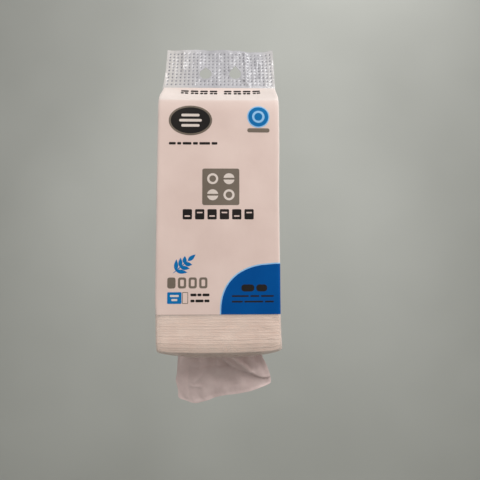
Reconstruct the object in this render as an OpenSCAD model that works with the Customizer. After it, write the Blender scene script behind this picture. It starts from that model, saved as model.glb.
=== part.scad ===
// Hanging pack of facial tissues that are pulled out at the bottom.
// One folded film bag with a welded hanging header, a stack of folded tissues inside it,
// the leading tissue hanging out of the mouth, and the inks printed on the film.
// Millimetres. +Z is up, -Y is the printed front, and the flat back leans on the wall.
// The origin is the middle of the flat back face.

/* [Block] */
// Width of the filled pack
pack_w = 125; // [100:1:160]
// Depth of the filled pack, front to back
pack_d = 85; // [70:1:110]
// Height of the filled block, without its shoulder and header
pack_h = 259; // [180:1:320]
// Radius of the upright edges
edge_r = 2.4; // [1:0.2:4]
// Radius of the front and back edges of the base
base_r = 3; // [1:0.2:5]

/* [Film] */
// Thickness of the film, drawn thicker than the real one
film_t = 0.4; // [0.3:0.05:0.8]
// Clearance between the film, the leaves and the stack
film_gap = 0.3; // [0.2:0.05:0.6]

/* [Shoulder and header] */
// How far behind the front face the header starts
ridge_run = 32; // [26:1:44]
// How far above the block the header starts
ridge_rise = 28.5; // [20:0.5:36]
// Length of the header from the ridge to its top edge
header_l = 55; // [45:1:70]
// Lean of the header, back from upright
header_lean = 15; // [5:1:22]
// How far the header stands wider than the block, each side
header_flare = 0.5; // [0:0.1:2]

/* [Hang holes] */
// Radius of the round part of a hang hole
hole_r = 7; // [5:0.5:8.5]
// Distance from a hole's middle to its pointed top, as a share of its radius
hole_peak = 1.34; // [1.1:0.01:1.34]
// Distance between the two holes
hole_spacing = 34.5; // [26:0.5:50]
// Height of the holes above the ridge, along the header
hole_rise = 20; // [14:0.5:28]

/* [Weld dots] */
// Width of a weld dot across its corners
dot_w = 1.9; // [1:0.1:2.6]
// Distance between the columns of dots
dot_step = 4.55; // [3.6:0.05:6]
// Distance between the rows of dots
dot_row_step = 4.9; // [3.6:0.05:6]
// Depth that a dot is pressed into the header
dot_depth = 0.15; // [0.05:0.05:0.3]
// Plain strip between the dots and the header's sides and ridge
dot_margin = 2.5; // [2:0.5:8]
// Plain strip above the top row of dots
dot_top_margin = 6; // [3:0.5:12]

/* [Mouth] */
// Length of the mouth in the bottom film
mouth_l = 98; // [70:1:100]
// Width of the mouth, front to back
mouth_w = 18; // [14:0.5:24]
// Length of the film lips that the tissues have pushed down
lip_l = 11; // [5:0.5:14]
// Lean of the lips towards the middle, from upright
lip_lean = 10; // [0:1:16]

/* [Tissues] */
// Thickness of one four-ply tissue
sheet_t = 0.4; // [0.3:0.05:0.6]
// Height of one fold in the stack, which is two tissues
fold_pitch = 1.6; // [1.2:0.1:4]
// Depth of the grooves between the folds
fold_depth = 0.7; // [0.4:0.05:1.2]
// How far every second fold stands back
fold_setback = 0.3; // [0:0.05:0.35]

/* [Pulled tissue] */
// Clear space between the neck of the pulled tissue and each end of the mouth
neck_gap = 2; // [1:0.5:8]
// Width of the pulled tissue where it hangs widest
hang_w = 104; // [85:1:115]
// How far the pulled tissue hangs below the pack
hang_l = 65; // [50:1:80]
// How much higher the right end of its lower edge is
hang_slant = 27; // [0:1:35]
// Shift of its lower part to the right
hang_drift = 4; // [0:0.5:6]
// Radius of the bend where it turns down through the mouth
turn_r = 2.5; // [1.5:0.1:4]
// Height of its upright pleats
pleat_h = 2.4; // [0:0.1:3]
// Number of upright pleats across it
pleat_n = 5; // [2:1:7]
// Height of the slanted fold on its right
cross_fold_h = 4.5; // [0:0.1:6]

/* [Print] */
// Thickness that each layer of ink is drawn with
ink_t = 0.15; // [0.1:0.05:0.3]
// Height of the unprinted clear band at the foot of the pack
clear_band = 36.5; // [20:0.5:60]
// Width of the corner field at the lower right
corner_field_w = 60; // [30:1:75]
// Height of the corner field
corner_field_h = 50.5; // [30:0.5:75]
// Width of the pale rim of the corner field
corner_rim = 1.2; // [0.6:0.1:3]
// Side of the middle square
square_side = 38; // [24:1:50]
// Middle of the square below the top edge of the front
square_drop = 93; // [60:1:110]
// Width of the oval badge
badge_w = 45; // [30:1:50]
// Height of the oval badge
badge_h = 32; // [20:1:40]
// Middle of the badge below the top edge of the front
badge_drop = 23; // [20:1:40]
// Radius of the round badge
disc_r = 10.5; // [6:0.5:13]
// Height of the marks under the square
mark_h = 10.5; // [6:0.5:14]
// Height of a plain text bar
bar_h = 2.2; // [1:0.1:4]

/* [Hidden] */

$fn = 48;
tiny = 0.01;
past = 2 * pack_w;

// Levels of the block
top_z = pack_h / 2;
base_z = -pack_h / 2;
floor_z = base_z + film_t;
mid_y = -pack_d / 2;

// Ridge, where the front and back films meet, and the side tucks below it
ridge_y = -pack_d + ridge_run;
ridge_z = top_z + ridge_rise;
front_slope = atan2(ridge_rise, ridge_run);
back_slope = atan2(ridge_rise, pack_d - ridge_run);
tuck_in = pack_d / 2;
tuck_slope = atan2(ridge_rise, tuck_in);

// Header
header_t = 2 * film_t;
header_w = pack_w + 2 * header_flare;
header_seat = 1;
dot_sides = 8;
dot_cols = floor((header_w - 2 * dot_margin - dot_w) / dot_step) + 1;
dot_rows = floor((header_l - dot_margin - dot_top_margin - dot_w) / dot_row_step) + 1;

// Roots of the mouth's lips: how deep they bite into the film, and how far they stop before its ends
lip_bite = film_t / 5;
lip_end = 1;

// Leaves of the pulled tissue under the stack, and the stack above them
lower_z = floor_z + film_gap + sheet_t / 2;
upper_z = lower_z + sheet_t + film_gap;
stack_z = upper_z + sheet_t / 2 + film_gap;
stack_h = top_z - film_t - film_gap - stack_z;
edge_in = edge_r - film_t;
side_gap = max(film_gap, edge_in - (edge_in - film_gap) / sqrt(2));
stack_w = pack_w - 2 * (film_t + side_gap);
stack_d = pack_d - 2 * (film_t + side_gap);
fold_n = round(stack_h / fold_pitch);
fold_step = stack_h / fold_n;
fold_facets = 4;

// Pulled tissue
sheet_l = 2 * stack_d;
neck_w = mouth_l - 2 * neck_gap;
back_fold_r = (upper_z - lower_z) / 2;
back_fold_y = -base_r - film_gap - sheet_t / 2 - back_fold_r;
turn_y = mid_y + turn_r;
turn_z = lower_z - turn_r;
lower_leaf_l = back_fold_y - turn_y;
hang_drop = hang_l + turn_z - base_z;
upper_leaf_l = min(sheet_l - lower_leaf_l - hang_drop, stack_d - 2 * base_r);
pulled_cols = 34;
fold_steps = 4;
lower_steps = 4;
turn_steps = 3;
hang_steps = 14;

// Printed front
flat_half = pack_w / 2;
field_facets = 24;
field_bow = 0.8;
mark_count = 6;
mark_step = mark_h * 1.2;

// Rounded outline of the block seen from above, grown outwards
module block_plan(grow) {
    w = pack_w + 2 * grow;
    d = pack_d + 2 * grow;
    r = edge_r + grow;
    translate([0, mid_y]) {
        square([w - 2 * r, d], center = true);
        square([w, d - 2 * r], center = true);
        for (sx = [-1, 1], sy = [-1, 1])
            translate([sx * (w / 2 - r), sy * (d / 2 - r)]) circle(r);
    }
}

// Height of a shoulder's line at a distance in from its own face, grown outwards
function shoulder_z(run, slope, grow) = top_z + run * tan(slope) + grow / cos(slope);

// Outline of the shoulder seen from the side, grown outwards
module shoulder_profile(grow) {
    lift = grow / cos(front_slope) - grow / cos(back_slope);
    slopes = tan(front_slope) + tan(back_slope);
    peak_run = (pack_d * tan(back_slope) - lift) / slopes;
    polygon([
        [-pack_d - grow, top_z - edge_r],
        [-pack_d - grow, shoulder_z(-grow, front_slope, grow)],
        [-pack_d + peak_run, shoulder_z(peak_run, front_slope, grow)],
        [grow, shoulder_z(-grow, back_slope, grow)],
        [grow, top_z - edge_r],
    ]);
}

// Outline of the block seen from the side, with its base edges rounded
module block_profile(grow) {
    r = base_r + grow;
    low = base_z - grow;
    near = -pack_d - grow;
    deep = pack_d + 2 * grow;
    translate([near, low + r]) square([deep, top_z - low - r]);
    translate([near + r, low]) square([deep - 2 * r, r + tiny]);
    for (y = [near + r, near + deep - r]) translate([y, low + r]) circle(r);
}

// Turns an outline drawn in the side view into a solid along X
module along_x(length) {
    rotate([90, 0, 90]) linear_extrude(height = length, center = true) children();
}

// Everything inside the bag's outer surface, grown outwards
module bag_volume(grow) {
    intersection() {
        translate([0, 0, -past]) linear_extrude(height = 2 * past) block_plan(grow);
        along_x(past) union() {
            block_profile(grow);
            shoulder_profile(grow);
        }
    }
}

// Space above the sloping side tucks, lowered by a film's thickness if asked
module above_tucks(lower) {
    for (side = [-1, 1])
        translate([side * pack_w / 2, 0, top_z - lower / cos(tuck_slope)])
            rotate([0, side * tuck_slope, 0])
                translate([-past / 2, -past / 2, 0]) cube([past, past, past]);
}

// Mouth outline, long across the pack, grown outwards
module mouth_plan(grow) {
    r = mouth_w / 2 + grow;
    reach = mouth_l / 2 - mouth_w / 2;
    translate([0, mid_y]) {
        square([2 * reach, 2 * r], center = true);
        for (side = [-1, 1]) translate([side * reach, 0]) circle(r);
    }
}

// Puts its children on the header: X across, Y up along it, Z out of its front
module on_header() {
    translate([0, ridge_y, ridge_z]) rotate([90 - header_lean, 0, 0]) children();
}

// Round hang hole with a pointed top
module hang_hole() {
    peak = hole_r * hole_peak;
    touch = acos(1 / hole_peak);
    translate([0, 0, -header_t]) {
        cylinder(h = 2 * header_t, r = hole_r, $fn = 64);
        linear_extrude(height = 2 * header_t)
            polygon([[0, 0], [hole_r * sin(touch), hole_r * cos(touch)],
                     [0, peak], [-hole_r * sin(touch), hole_r * cos(touch)]]);
    }
}

// True where a weld dot keeps clear of both holes
function dot_is_clear(x, y) =
    let (dx = abs(x) - hole_spacing / 2, dy = y - hole_rise, reach = hole_r + dot_w)
    dx * dx + dy * dy > reach * reach
        && !(abs(dx) < dot_w && dy > 0 && dy < hole_r * hole_peak + dot_w);

// Header with its holes and the pressed weld dots
module header() {
    on_header() difference() {
        translate([-header_w / 2, -header_seat, -header_t / 2])
            cube([header_w, header_l + header_seat, header_t]);
        for (side = [-1, 1]) translate([side * hole_spacing / 2, hole_rise, 0]) hang_hole();
        for (col = [0:dot_cols - 1], row = [0:dot_rows - 1]) {
            x = (col - (dot_cols - 1) / 2) * dot_step;
            y = dot_margin + dot_w / 2 + row * dot_row_step;
            if (dot_is_clear(x, y))
                translate([x, y, header_t / 2 - dot_depth])
                    cylinder(h = film_t, d = dot_w, $fn = dot_sides);
        }
    }
}

// Film lips that the tissues have pushed down at the mouth's long edges, rooted inside the base film
module lips() {
    length = mouth_l - mouth_w - 2 * lip_end;
    for (side = [-1, 1])
        translate([-length / 2, mid_y + side * (mouth_w / 2 + lip_bite), floor_z - lip_bite / 2])
            rotate([-side * lip_lean, 0, 0])
                translate([0, side > 0 ? 0 : -film_t, -lip_l - film_t])
                    cube([length, film_t, lip_l + film_t]);
}

// The whole bag, folded from one film
module film_bag() {
    color([0.88, 0.84, 0.81]) union() {
        difference() {
            bag_volume(0);
            difference() {
                bag_volume(-film_t);
                above_tucks(film_t);
            }
            intersection() {
                along_x(past) shoulder_profile(-2 * film_t);
                above_tucks(0);
            }
            translate([0, 0, base_z - film_t]) linear_extrude(height = 3 * film_t) mouth_plan(0);
        }
        header();
        lips();
    }
}

// How far the inner base curve stands in from the wall at a height
function base_curve(z) =
    let (r = base_r - film_t, up = z - floor_z)
    up >= r ? 0 : r - sqrt(r * r - (r - up) * (r - up));

// Clear distance that the stack keeps from the inner wall at a height
function stack_face(z) = max(side_gap, base_curve(z) + film_gap);

// How far a fold stands out of its groove, at one of its facets
function fold_out(i, k) = (fold_depth - (i % 2) * fold_setback) * sqrt(sin(180 * k / fold_facets));

// Distance of the stack's folded face from the outside of the pack
function fold_edge(i, k) =
    let (z = stack_z + (i + k / fold_facets) * fold_step)
    [film_t + stack_face(z) + fold_depth - fold_out(i, k), z];

// All the folded tissues, as one block with its folds at front and back
module tissue_stack() {
    steps = [for (i = [0:fold_n - 1], k = [0:fold_facets - 1]) fold_edge(i, k),
             fold_edge(fold_n, 0)];
    last = len(steps) - 1;
    color([0.95, 0.92, 0.89]) along_x(stack_w)
        polygon(concat(
            [for (s = steps) [-pack_d + s[0], s[1]]],
            [for (j = [0:last]) [-steps[last - j][0], steps[last - j][1]]]));
}

// Smooth step from 0 to 1
function ease(t) = let (c = min(max(t, 0), 1)) c * c * (3 - 2 * c);

// Path of the pulled tissue in the side view: [y, z, direction, share hung]
function pulled_path() = concat(
    [[back_fold_y - upper_leaf_l, upper_z, 0, 0], [back_fold_y - upper_leaf_l / 2, upper_z, 0, 0]],
    [for (i = [0:fold_steps]) let (a = 90 - 180 * i / fold_steps)
        [back_fold_y + back_fold_r * cos(a), lower_z + back_fold_r + back_fold_r * sin(a), a - 90, 0]],
    [for (i = [1:lower_steps]) [back_fold_y - lower_leaf_l * i / (lower_steps + 1), lower_z, -180, 0]],
    [for (i = [0:turn_steps]) let (a = 90 * i / turn_steps)
        [turn_y - turn_r * sin(a), turn_z + turn_r * cos(a), a - 180, 0]],
    [for (i = [1:hang_steps]) [mid_y, turn_z, -90, i / hang_steps]]);

// Length that hangs below the bend, from the left end (-1) to the right end (1)
function hang_at(u) = hang_drop - (u < -0.5 ? 6 * (-0.5 - u) : hang_slant * (u + 0.5) / 1.5);

// Half width of the tissue at a row of its path
function half_at(row) =
    row[3] > 0 ? neck_w / 2 + (hang_w - neck_w) / 2 * ease(2 * row[3])
    : row[2] > -180 && row[2] <= -90 && row[1] < lower_z ? neck_w / 2
    : let (drawn = (back_fold_y - row[0]) / lower_leaf_l, flat_leaf = stack_w - 2 * film_gap)
      row[2] == -180 ? (flat_leaf + (neck_w - flat_leaf) * ease(drawn)) / 2 : flat_leaf / 2;

// Pleats of the hanging part: upright ones and one slanted fold on the right
function pleat_at(u, down) =
    let (grow = ease(down * 5), slant = (u - 0.3 - 0.6 * down) / 0.13)
    grow * (pleat_h * sin(180 * pleat_n * u + 30) * (1 - 0.4 * down)
            - cross_fold_h * exp(-slant * slant) * ease(down * 2.5));

// A point of the tissue, on its front (-1) or its back (1)
function pulled_point(row, u, face) =
    let (hung = row[3] * hang_at(u),
         off = pleat_at(u, row[3]) + face * sheet_t / 2,
         across = u * half_at(row) + hang_drift * ease(row[3]))
    [across, row[0] - sin(row[2]) * off, row[1] - hung + cos(row[2]) * off];

// The leading tissue: folded flat under the stack, then drawn down through the mouth
module pulled_tissue() {
    rows = pulled_path();
    n = pulled_cols;
    m = len(rows);
    side = m * (n + 1);
    points = [for (face = [-1, 1], r = rows, j = [0:n]) pulled_point(r, 2 * j / n - 1, face)];
    skins = [for (i = [0:m - 2], j = [0:n - 1]) let (a = i * (n + 1) + j, b = a + n + 1)
        each [[a, a + 1, b], [a + 1, b + 1, b],
              [a + side, b + side, a + side + 1], [a + side + 1, b + side, b + side + 1]]];
    ends = [for (j = [0:n - 1]) let (a = j, b = (m - 1) * (n + 1) + j)
        each [[a, a + side, a + 1], [a + 1, a + side, a + side + 1],
              [b, b + 1, b + side], [b + 1, b + side + 1, b + side]]];
    hems = [for (i = [0:m - 2]) let (a = i * (n + 1), b = a + n + 1, c = a + n, d = b + n)
        each [[a, b, a + side], [b, b + side, a + side],
              [c, c + side, d], [d, c + side, d + side]]];
    color([0.93, 0.9, 0.88]) polyhedron(points, concat(skins, ends, hems), convexity = 8);
}

// One layer of ink on the block's front and sides, between two heights
module ink_sleeve(level, low, high) {
    translate([0, 0, low]) linear_extrude(height = high - low) difference() {
        block_plan((level + 1) * ink_t);
        block_plan(level * ink_t);
        translate([-past / 2, -edge_r]) square([past, past]);
    }
}

// One layer of ink in the outline that is drawn on the front, round its upright edges too
module wrapped_field(level) {
    intersection() {
        ink_sleeve(level, base_z, top_z);
        translate([0, edge_r - pack_d, 0]) rotate([90, 0, 0]) linear_extrude(height = past) children();
    }
}

// Flat ink on the front, with its middle at x and at a drop below the front's top edge
module on_front(x, drop, level) {
    translate([x, -pack_d - level * ink_t, top_z - drop]) rotate([90, 0, 0])
        linear_extrude(height = ink_t) children();
}

// Flat ink on the front shoulder, at a distance up its slope
module on_shoulder(x, up, level) {
    translate([0, -pack_d, top_z]) rotate([front_slope, 0, 0])
        translate([x, up, level * ink_t]) linear_extrude(height = ink_t) children();
}

// Rectangle with round corners
module soft_rect(w, h, r) {
    square([w - 2 * r, h], center = true);
    square([w, h - 2 * r], center = true);
    for (sx = [-1, 1], sy = [-1, 1]) translate([sx * (w / 2 - r), sy * (h / 2 - r)]) circle(r, $fn = 24);
}

// Plain bar with round ends, in place of a word
module word_bar(w, h = bar_h) {
    soft_rect(w, h, h * 0.45);
}

// Where a bar of a row starts
function bar_start(lengths, gap, i) =
    i == 0 ? 0 : bar_start(lengths, gap, i - 1) + lengths[i - 1] + gap;

// Row of word bars of the given lengths, starting at the left
module word_row(lengths, gap, h = bar_h) {
    for (i = [0:len(lengths) - 1])
        translate([bar_start(lengths, gap, i) + lengths[i] / 2, 0]) word_bar(lengths[i], h);
}

// Ellipse from its width and height
module oval(w, h) {
    polygon([for (i = [0:47]) [w / 2 * cos(i * 7.5), h / 2 * sin(i * 7.5)]]);
}

// Quarter of a rounded corner field, with its middle at the lower right
module quarter(w, h) {
    polygon(concat([[0, 0]], [for (i = [0:field_facets]) let (a = 90 * i / field_facets)
        [-w * pow(cos(a), field_bow), h * pow(sin(a), field_bow)]]));
}

// Places the corner field's outline at the lower right of the printed front
module at_lower_right() {
    translate([flat_half + ink_t * 3, base_z + clear_band]) children();
}

// Leaf with two pointed ends, lying along X from the origin
module leaf(length, width) {
    bow = (length * length / 4 + width * width / 4) / width;
    intersection_for (side = [-1, 1])
        translate([length / 2, side * (bow - width / 2)]) circle(bow, $fn = 96);
}

// Round badge, the ring on it and the bar under it, from its own radius
disc_x = flat_half - edge_r - disc_r - 8;
disc_drop = disc_r + 8.5;
disc_ring_r = disc_r * 0.62;
disc_ring_hole_r = disc_r * 0.4;
disc_bar_w = 2.2 * disc_r;
disc_bar_h = 4.4;
disc_bar_drop = disc_drop + disc_r + 4;

// Oval badge and its three bars
badge_x = -flat_half + badge_w / 2 + 11;
badge_rim = 2;
badge_bar_step = 5.5;
badge_bar_h = 2.8;

// Middle square, with two rings and two split discs on it
square_x = 2.6;
spot_off = square_side * 0.22;
spot_r = square_side * 0.15;
spot_hole_r = square_side * 0.09;
spot_split = square_side * 0.05;

// Row of marks under the square, each with a slit
mark_w = mark_h * 0.9;
mark_gap = 4.2;
mark_drop = square_drop + square_side / 2 + mark_gap + mark_h / 2;
slit_w = mark_h * 0.55;
slit_h = mark_h * 0.14;
slit_off = mark_h * 0.17;

// Left column of small print: a row under the badge, then from the foot up a box, figures and a sprig
column_x = -flat_half + 11.5;
column_gap = 3.7;
small_row_drop = badge_drop + badge_h / 2 + 8.5;
box_foot_gap = 10.7;
box_w = 14.4;
box_h = 11.6;
box_drop = pack_h - clear_band - box_foot_gap - box_h / 2;
slip_w = 5.9;
slip_rim = 0.6;
box_rows_x = column_x + box_w + slip_w + 3;
box_row_off = 3;
figure_h = 11;
figure_w = 8.2;
figure_step = figure_w * 1.3;
figure_drop = box_drop - box_h / 2 - column_gap - figure_h / 2;
sprig_l = 28;
sprig_root_drop = figure_drop - figure_h / 2 - column_gap;
stalk_l = sprig_l * 0.8;
stalk_w = 0.8;
leaf_w = sprig_l * 0.15;

// Rows of bars on the corner field and on the shoulder
field_word_x = -corner_field_w * 0.66;
field_rows_x = -corner_field_w * 0.82;
field_word_h = 7;
field_row_h = 1.6;
shoulder_row_x = -44;
shoulder_row_up = ridge_run * 0.78;
shoulder_row_h = 2.6;

// Ground of white ink on the front, the sides and both shoulders
module print_white() {
    color([0.93, 0.88, 0.85]) union() {
        ink_sleeve(0, base_z + clear_band, top_z);
        intersection() {
            translate([0, 0, -past]) linear_extrude(height = 2 * past) block_plan(ink_t);
            along_x(past) difference() {
                shoulder_profile(ink_t);
                shoulder_profile(0);
                translate([ridge_y - header_t - ink_t, top_z]) square([2 * (header_t + ink_t), past]);
                translate([-edge_r, 0]) square([past, past]);
                translate([-past, -past]) square([2 * past, past + top_z]);
            }
        }
    }
}

// Blue fields: corner field, round badge, sprig of leaves and size box
module print_blue() {
    color([0.0, 0.28, 0.56]) union() {
        wrapped_field(1) at_lower_right() quarter(corner_field_w, corner_field_h);
        on_front(disc_x, disc_drop, 1) circle(disc_r);
        on_front(column_x + 5, sprig_root_drop, 1) rotate(40) {
            translate([0, -stalk_w / 2]) square([stalk_l, stalk_w]);
            for (i = [0:2], side = [-1, 1]) translate([sprig_l * (0.16 + 0.2 * i), 0])
                rotate(side * 48) leaf(sprig_l * (0.42 - 0.07 * i), leaf_w);
            translate([sprig_l * 0.72, 0]) leaf(sprig_l * 0.36, leaf_w);
        }
        on_front(column_x + box_w / 2, box_drop, 1) soft_rect(box_w, box_h, 1);
    }
}

// Pale blue rims of the corner field and the round badge
module print_pale_blue() {
    color([0.55, 0.75, 0.9]) union() {
        wrapped_field(1) at_lower_right() difference() {
            quarter(corner_field_w + corner_rim, corner_field_h + corner_rim);
            quarter(corner_field_w, corner_field_h);
            translate([-past, -past]) square([2 * past, past]);
            square([past, past]);
        }
        on_front(disc_x, disc_drop, 1) difference() {
            circle(disc_r + corner_rim);
            circle(disc_r);
        }
        on_front(disc_x, disc_drop, 2) difference() {
            circle(disc_ring_r);
            circle(disc_ring_hole_r);
        }
    }
}

// Dark fields: oval badge, marks under the square, and rows of small bars
module print_dark() {
    color([0.1, 0.09, 0.09]) union() {
        on_front(badge_x, badge_drop, 1) oval(badge_w - 2 * badge_rim, badge_h - 2 * badge_rim);
        for (i = [0:mark_count - 1])
            on_front((i - (mark_count - 1) / 2) * mark_step, mark_drop, 1) difference() {
                soft_rect(mark_w, mark_h, 1.2);
                translate([0, (2 * (i % 2) - 1) * slit_off]) word_bar(slit_w, slit_h);
            }
        on_front(column_x, small_row_drop, 1) word_row([7, 4, 9, 5, 11, 6], 1.6);
        on_front(box_rows_x, box_drop - box_row_off, 1) word_row([6, 4, 7], 1);
        on_front(box_rows_x, box_drop + box_row_off, 1) word_row([4, 8, 5], 1);
        on_shoulder(shoulder_row_x, shoulder_row_up, 1)
            word_row([9, 6, 8, 10, 7, 9, 8, 10, 6], 1.9, shoulder_row_h);
        wrapped_field(2) at_lower_right() {
            translate([field_word_x, corner_field_h * 0.52]) word_row([13, 11], 2, field_word_h);
            translate([field_rows_x, corner_field_h * 0.36]) word_row([17, 9, 13], 1.6, field_row_h);
            translate([field_rows_x, corner_field_h * 0.25]) word_row([11, 19, 9], 1.6, field_row_h);
        }
    }
}

// Grey and brown fields: middle square, badge rim, figure bars and outlined slip
module print_grey() {
    color([0.46, 0.41, 0.37]) union() {
        on_front(square_x, square_drop, 1) soft_rect(square_side, square_side, 2);
        on_front(badge_x, badge_drop, 1) difference() {
            oval(badge_w, badge_h);
            oval(badge_w - 2 * badge_rim, badge_h - 2 * badge_rim);
        }
        on_front(disc_x, disc_bar_drop, 1) word_bar(disc_bar_w, disc_bar_h);
        for (i = [0:3]) on_front(column_x + figure_w / 2 + i * figure_step, figure_drop, 1)
            difference() {
                soft_rect(figure_w, figure_h, 2.2);
                if (i > 0) soft_rect(figure_w * 0.45, figure_h * 0.6, 1);
            }
        on_front(column_x + box_w + slip_w / 2 + 0.6, box_drop, 1) difference() {
            soft_rect(slip_w, box_h, 0.8);
            soft_rect(slip_w - 2 * slip_rim, box_h - 2 * slip_rim, 0.5);
        }
    }
}

// Light shapes on the dark, grey and blue fields
module print_light() {
    color([0.88, 0.84, 0.8]) union() {
        for (i = [0:2]) on_front(badge_x, badge_drop + (i - 1) * badge_bar_step, 2)
            word_bar(badge_w * (0.42 + 0.1 * (i % 2)), badge_bar_h);
        for (sx = [-1, 1], sz = [-1, 1])
            on_front(square_x + sx * spot_off, square_drop + sz * spot_off, 2) difference() {
                circle(spot_r);
                if (sx * sz > 0) circle(spot_hole_r);
                else square([2.4 * spot_r, spot_split], center = true);
            }
        for (i = [0:1]) on_front(column_x + box_w / 2, box_drop - 2 + 4 * i, 2)
            word_bar(box_w * (0.62 - 0.2 * i), 2);
    }
}

film_bag();
tissue_stack();
pulled_tissue();
print_white();
print_blue();
print_pale_blue();
print_dark();
print_grey();
print_light();
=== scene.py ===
# %% [markdown]
# # A hanging pack of facial tissues
# This pack hangs by two holes in its header, and the tissues are pulled out of a mouth in its floor. It is
# one bag of thin film: welded and dotted at the top, printed white on most of its body, and left clear in a
# band at the foot, where the folded tissues show.
# The CAD part gives every size. This script dresses it: the film, the stack of tissues, the tissue that
# hangs out, and the print, each as a piece of its own that stands for its CAD solid.
#
# The frame is loaded first. Its solids show where everything goes, in metres.

# %% Load the CAD part
import math
from contextlib import contextmanager

import bpy
from mathutils import Matrix, Vector, noise


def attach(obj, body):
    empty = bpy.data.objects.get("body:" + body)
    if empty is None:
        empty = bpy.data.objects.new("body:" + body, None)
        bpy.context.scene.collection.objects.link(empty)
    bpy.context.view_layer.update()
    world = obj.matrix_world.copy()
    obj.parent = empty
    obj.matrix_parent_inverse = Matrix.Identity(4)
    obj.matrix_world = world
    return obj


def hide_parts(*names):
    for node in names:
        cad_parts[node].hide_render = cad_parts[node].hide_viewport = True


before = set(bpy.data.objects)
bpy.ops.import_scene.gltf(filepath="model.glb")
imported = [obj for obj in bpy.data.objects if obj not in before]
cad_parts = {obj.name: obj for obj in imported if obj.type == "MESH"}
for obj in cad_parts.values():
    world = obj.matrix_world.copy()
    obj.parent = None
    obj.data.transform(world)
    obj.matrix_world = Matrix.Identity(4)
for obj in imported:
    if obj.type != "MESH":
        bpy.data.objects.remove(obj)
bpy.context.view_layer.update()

# %% [markdown]
# The other imports are Blender's own and Python's own.

# %% [markdown]
# The sizes of the part are repeated here in millimetres, which are easier to think in for an object like
# this. A small helper turns them into Blender's metres where a point is placed.

# %% Sizes of the pack, in millimetres
PACK_W, PACK_D, PACK_H = 125.0, 85.0, 259.0
EDGE_R, FOOT_R = 2.4, 3.0
TOP_Z, BASE_Z, MID_Y = PACK_H / 2, -PACK_H / 2, -PACK_D / 2
RIDGE_Y, RIDGE_Z = -53.0, TOP_Z + 28.5
HEADER_W, HEADER_L, HEADER_LEAN = 126.0, 55.0, math.radians(15)
HOLE_R, HOLE_PEAK, HOLE_X, HOLE_UP = 7.0, 1.34, 17.25, 20.0
MOUTH_L, MOUTH_W = 98.0, 18.0
CLEAR_BAND = 36.5
PRINT_EDGE_Z = BASE_Z + CLEAR_BAND


def mm(x, y, z):
    """A point given in millimetres, as Blender's metres."""
    return Vector((x, y, z)) * 0.001


def ease(t):
    """A soft step from 0 to 1."""
    t = min(max(t, 0.0), 1.0)
    return t * t * (3 - 2 * t)


def mix(a, b, t):
    return a + (b - a) * t


def waver(x, y, z):
    """Smooth noise between about -1 and 1."""
    return noise.noise(Vector((x, y, z)))


def along(points, x):
    """A smooth curve through a list of (x, value) pairs, read at x."""
    if x <= points[0][0]:
        return points[0][1]
    for i in range(len(points) - 1):
        (x0, a), (x1, b) = points[i], points[i + 1]
        if x <= x1:
            before, after = points[max(i - 1, 0)], points[min(i + 2, len(points) - 1)]
            h, t = x1 - x0, (x - x0) / (x1 - x0)
            m0, m1 = h * (b - before[1]) / (x1 - before[0]), h * (after[1] - a) / (after[0] - x0)
            d = b - a
            return a + t * (m0 + t * (3 * d - 2 * m0 - m1 + t * (m0 + m1 - 2 * d)))
    return points[-1][1]


print("front of the block is", PACK_W, "by", PACK_H, "mm, and", PACK_D, "mm deep")

# %% [markdown]
# The camera stands where the photographer's phone did: a little right of the pack's middle, about 36 cm
# in front of it, and slightly below its middle height, tilted up by four degrees. A short lens like a
# phone's makes the top and the foot of the pack narrow and widen as they do in the picture.

# %% Camera
bpy.ops.object.select_all(action="DESELECT")
bpy.ops.object.camera_add(location=mm(15.2, -448.3, -44.8))
camera = bpy.context.object
camera.name = "phone_camera"
camera.data.sensor_width = 36.0
camera.data.lens = 26.85
turn = Matrix.Rotation(math.radians(-1.09), 4, "Z") @ Matrix.Rotation(math.radians(94.17), 4, "X")
turn = turn @ Matrix.Rotation(math.radians(-0.17), 4, "Z")
camera.rotation_euler = turn.to_euler()
bpy.context.scene.camera = camera
print("lens", camera.data.lens, "mm at", tuple(round(c, 4) for c in camera.location))

# %% [markdown]
# The stage is one pale sheet: a floor far under the pack that curves up into a backdrop far behind it.
# It is an ordinary photographer's sweep. A cylinder or a box would show a corner, so the sheet is made
# from a wide plane whose far edge is spun up through a quarter turn and then pulled up. It stands so far
# away that the light falls off down the wall, as it does in the picture.
# Operators that change a mesh work in edit mode, so a helper goes in and comes out again round them.

# %% Stage: floor and backdrop in one sweep
FLOOR_Z, FLOOR_SIDE, BACK_Y, SWEEP_R, WALL_RISE = -1.9, 13.0, 1.8, 0.5, 4.2


@contextmanager
def edit_mode(everything=False):
    """Edit mode for a few operators, on what is selected or on everything."""
    bpy.ops.object.mode_set(mode="EDIT")
    if everything:
        bpy.ops.mesh.select_all(action="SELECT")
    yield
    bpy.ops.object.mode_set(mode="OBJECT")


def deselect_mesh():
    with edit_mode():
        bpy.ops.mesh.select_all(action="DESELECT")


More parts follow.
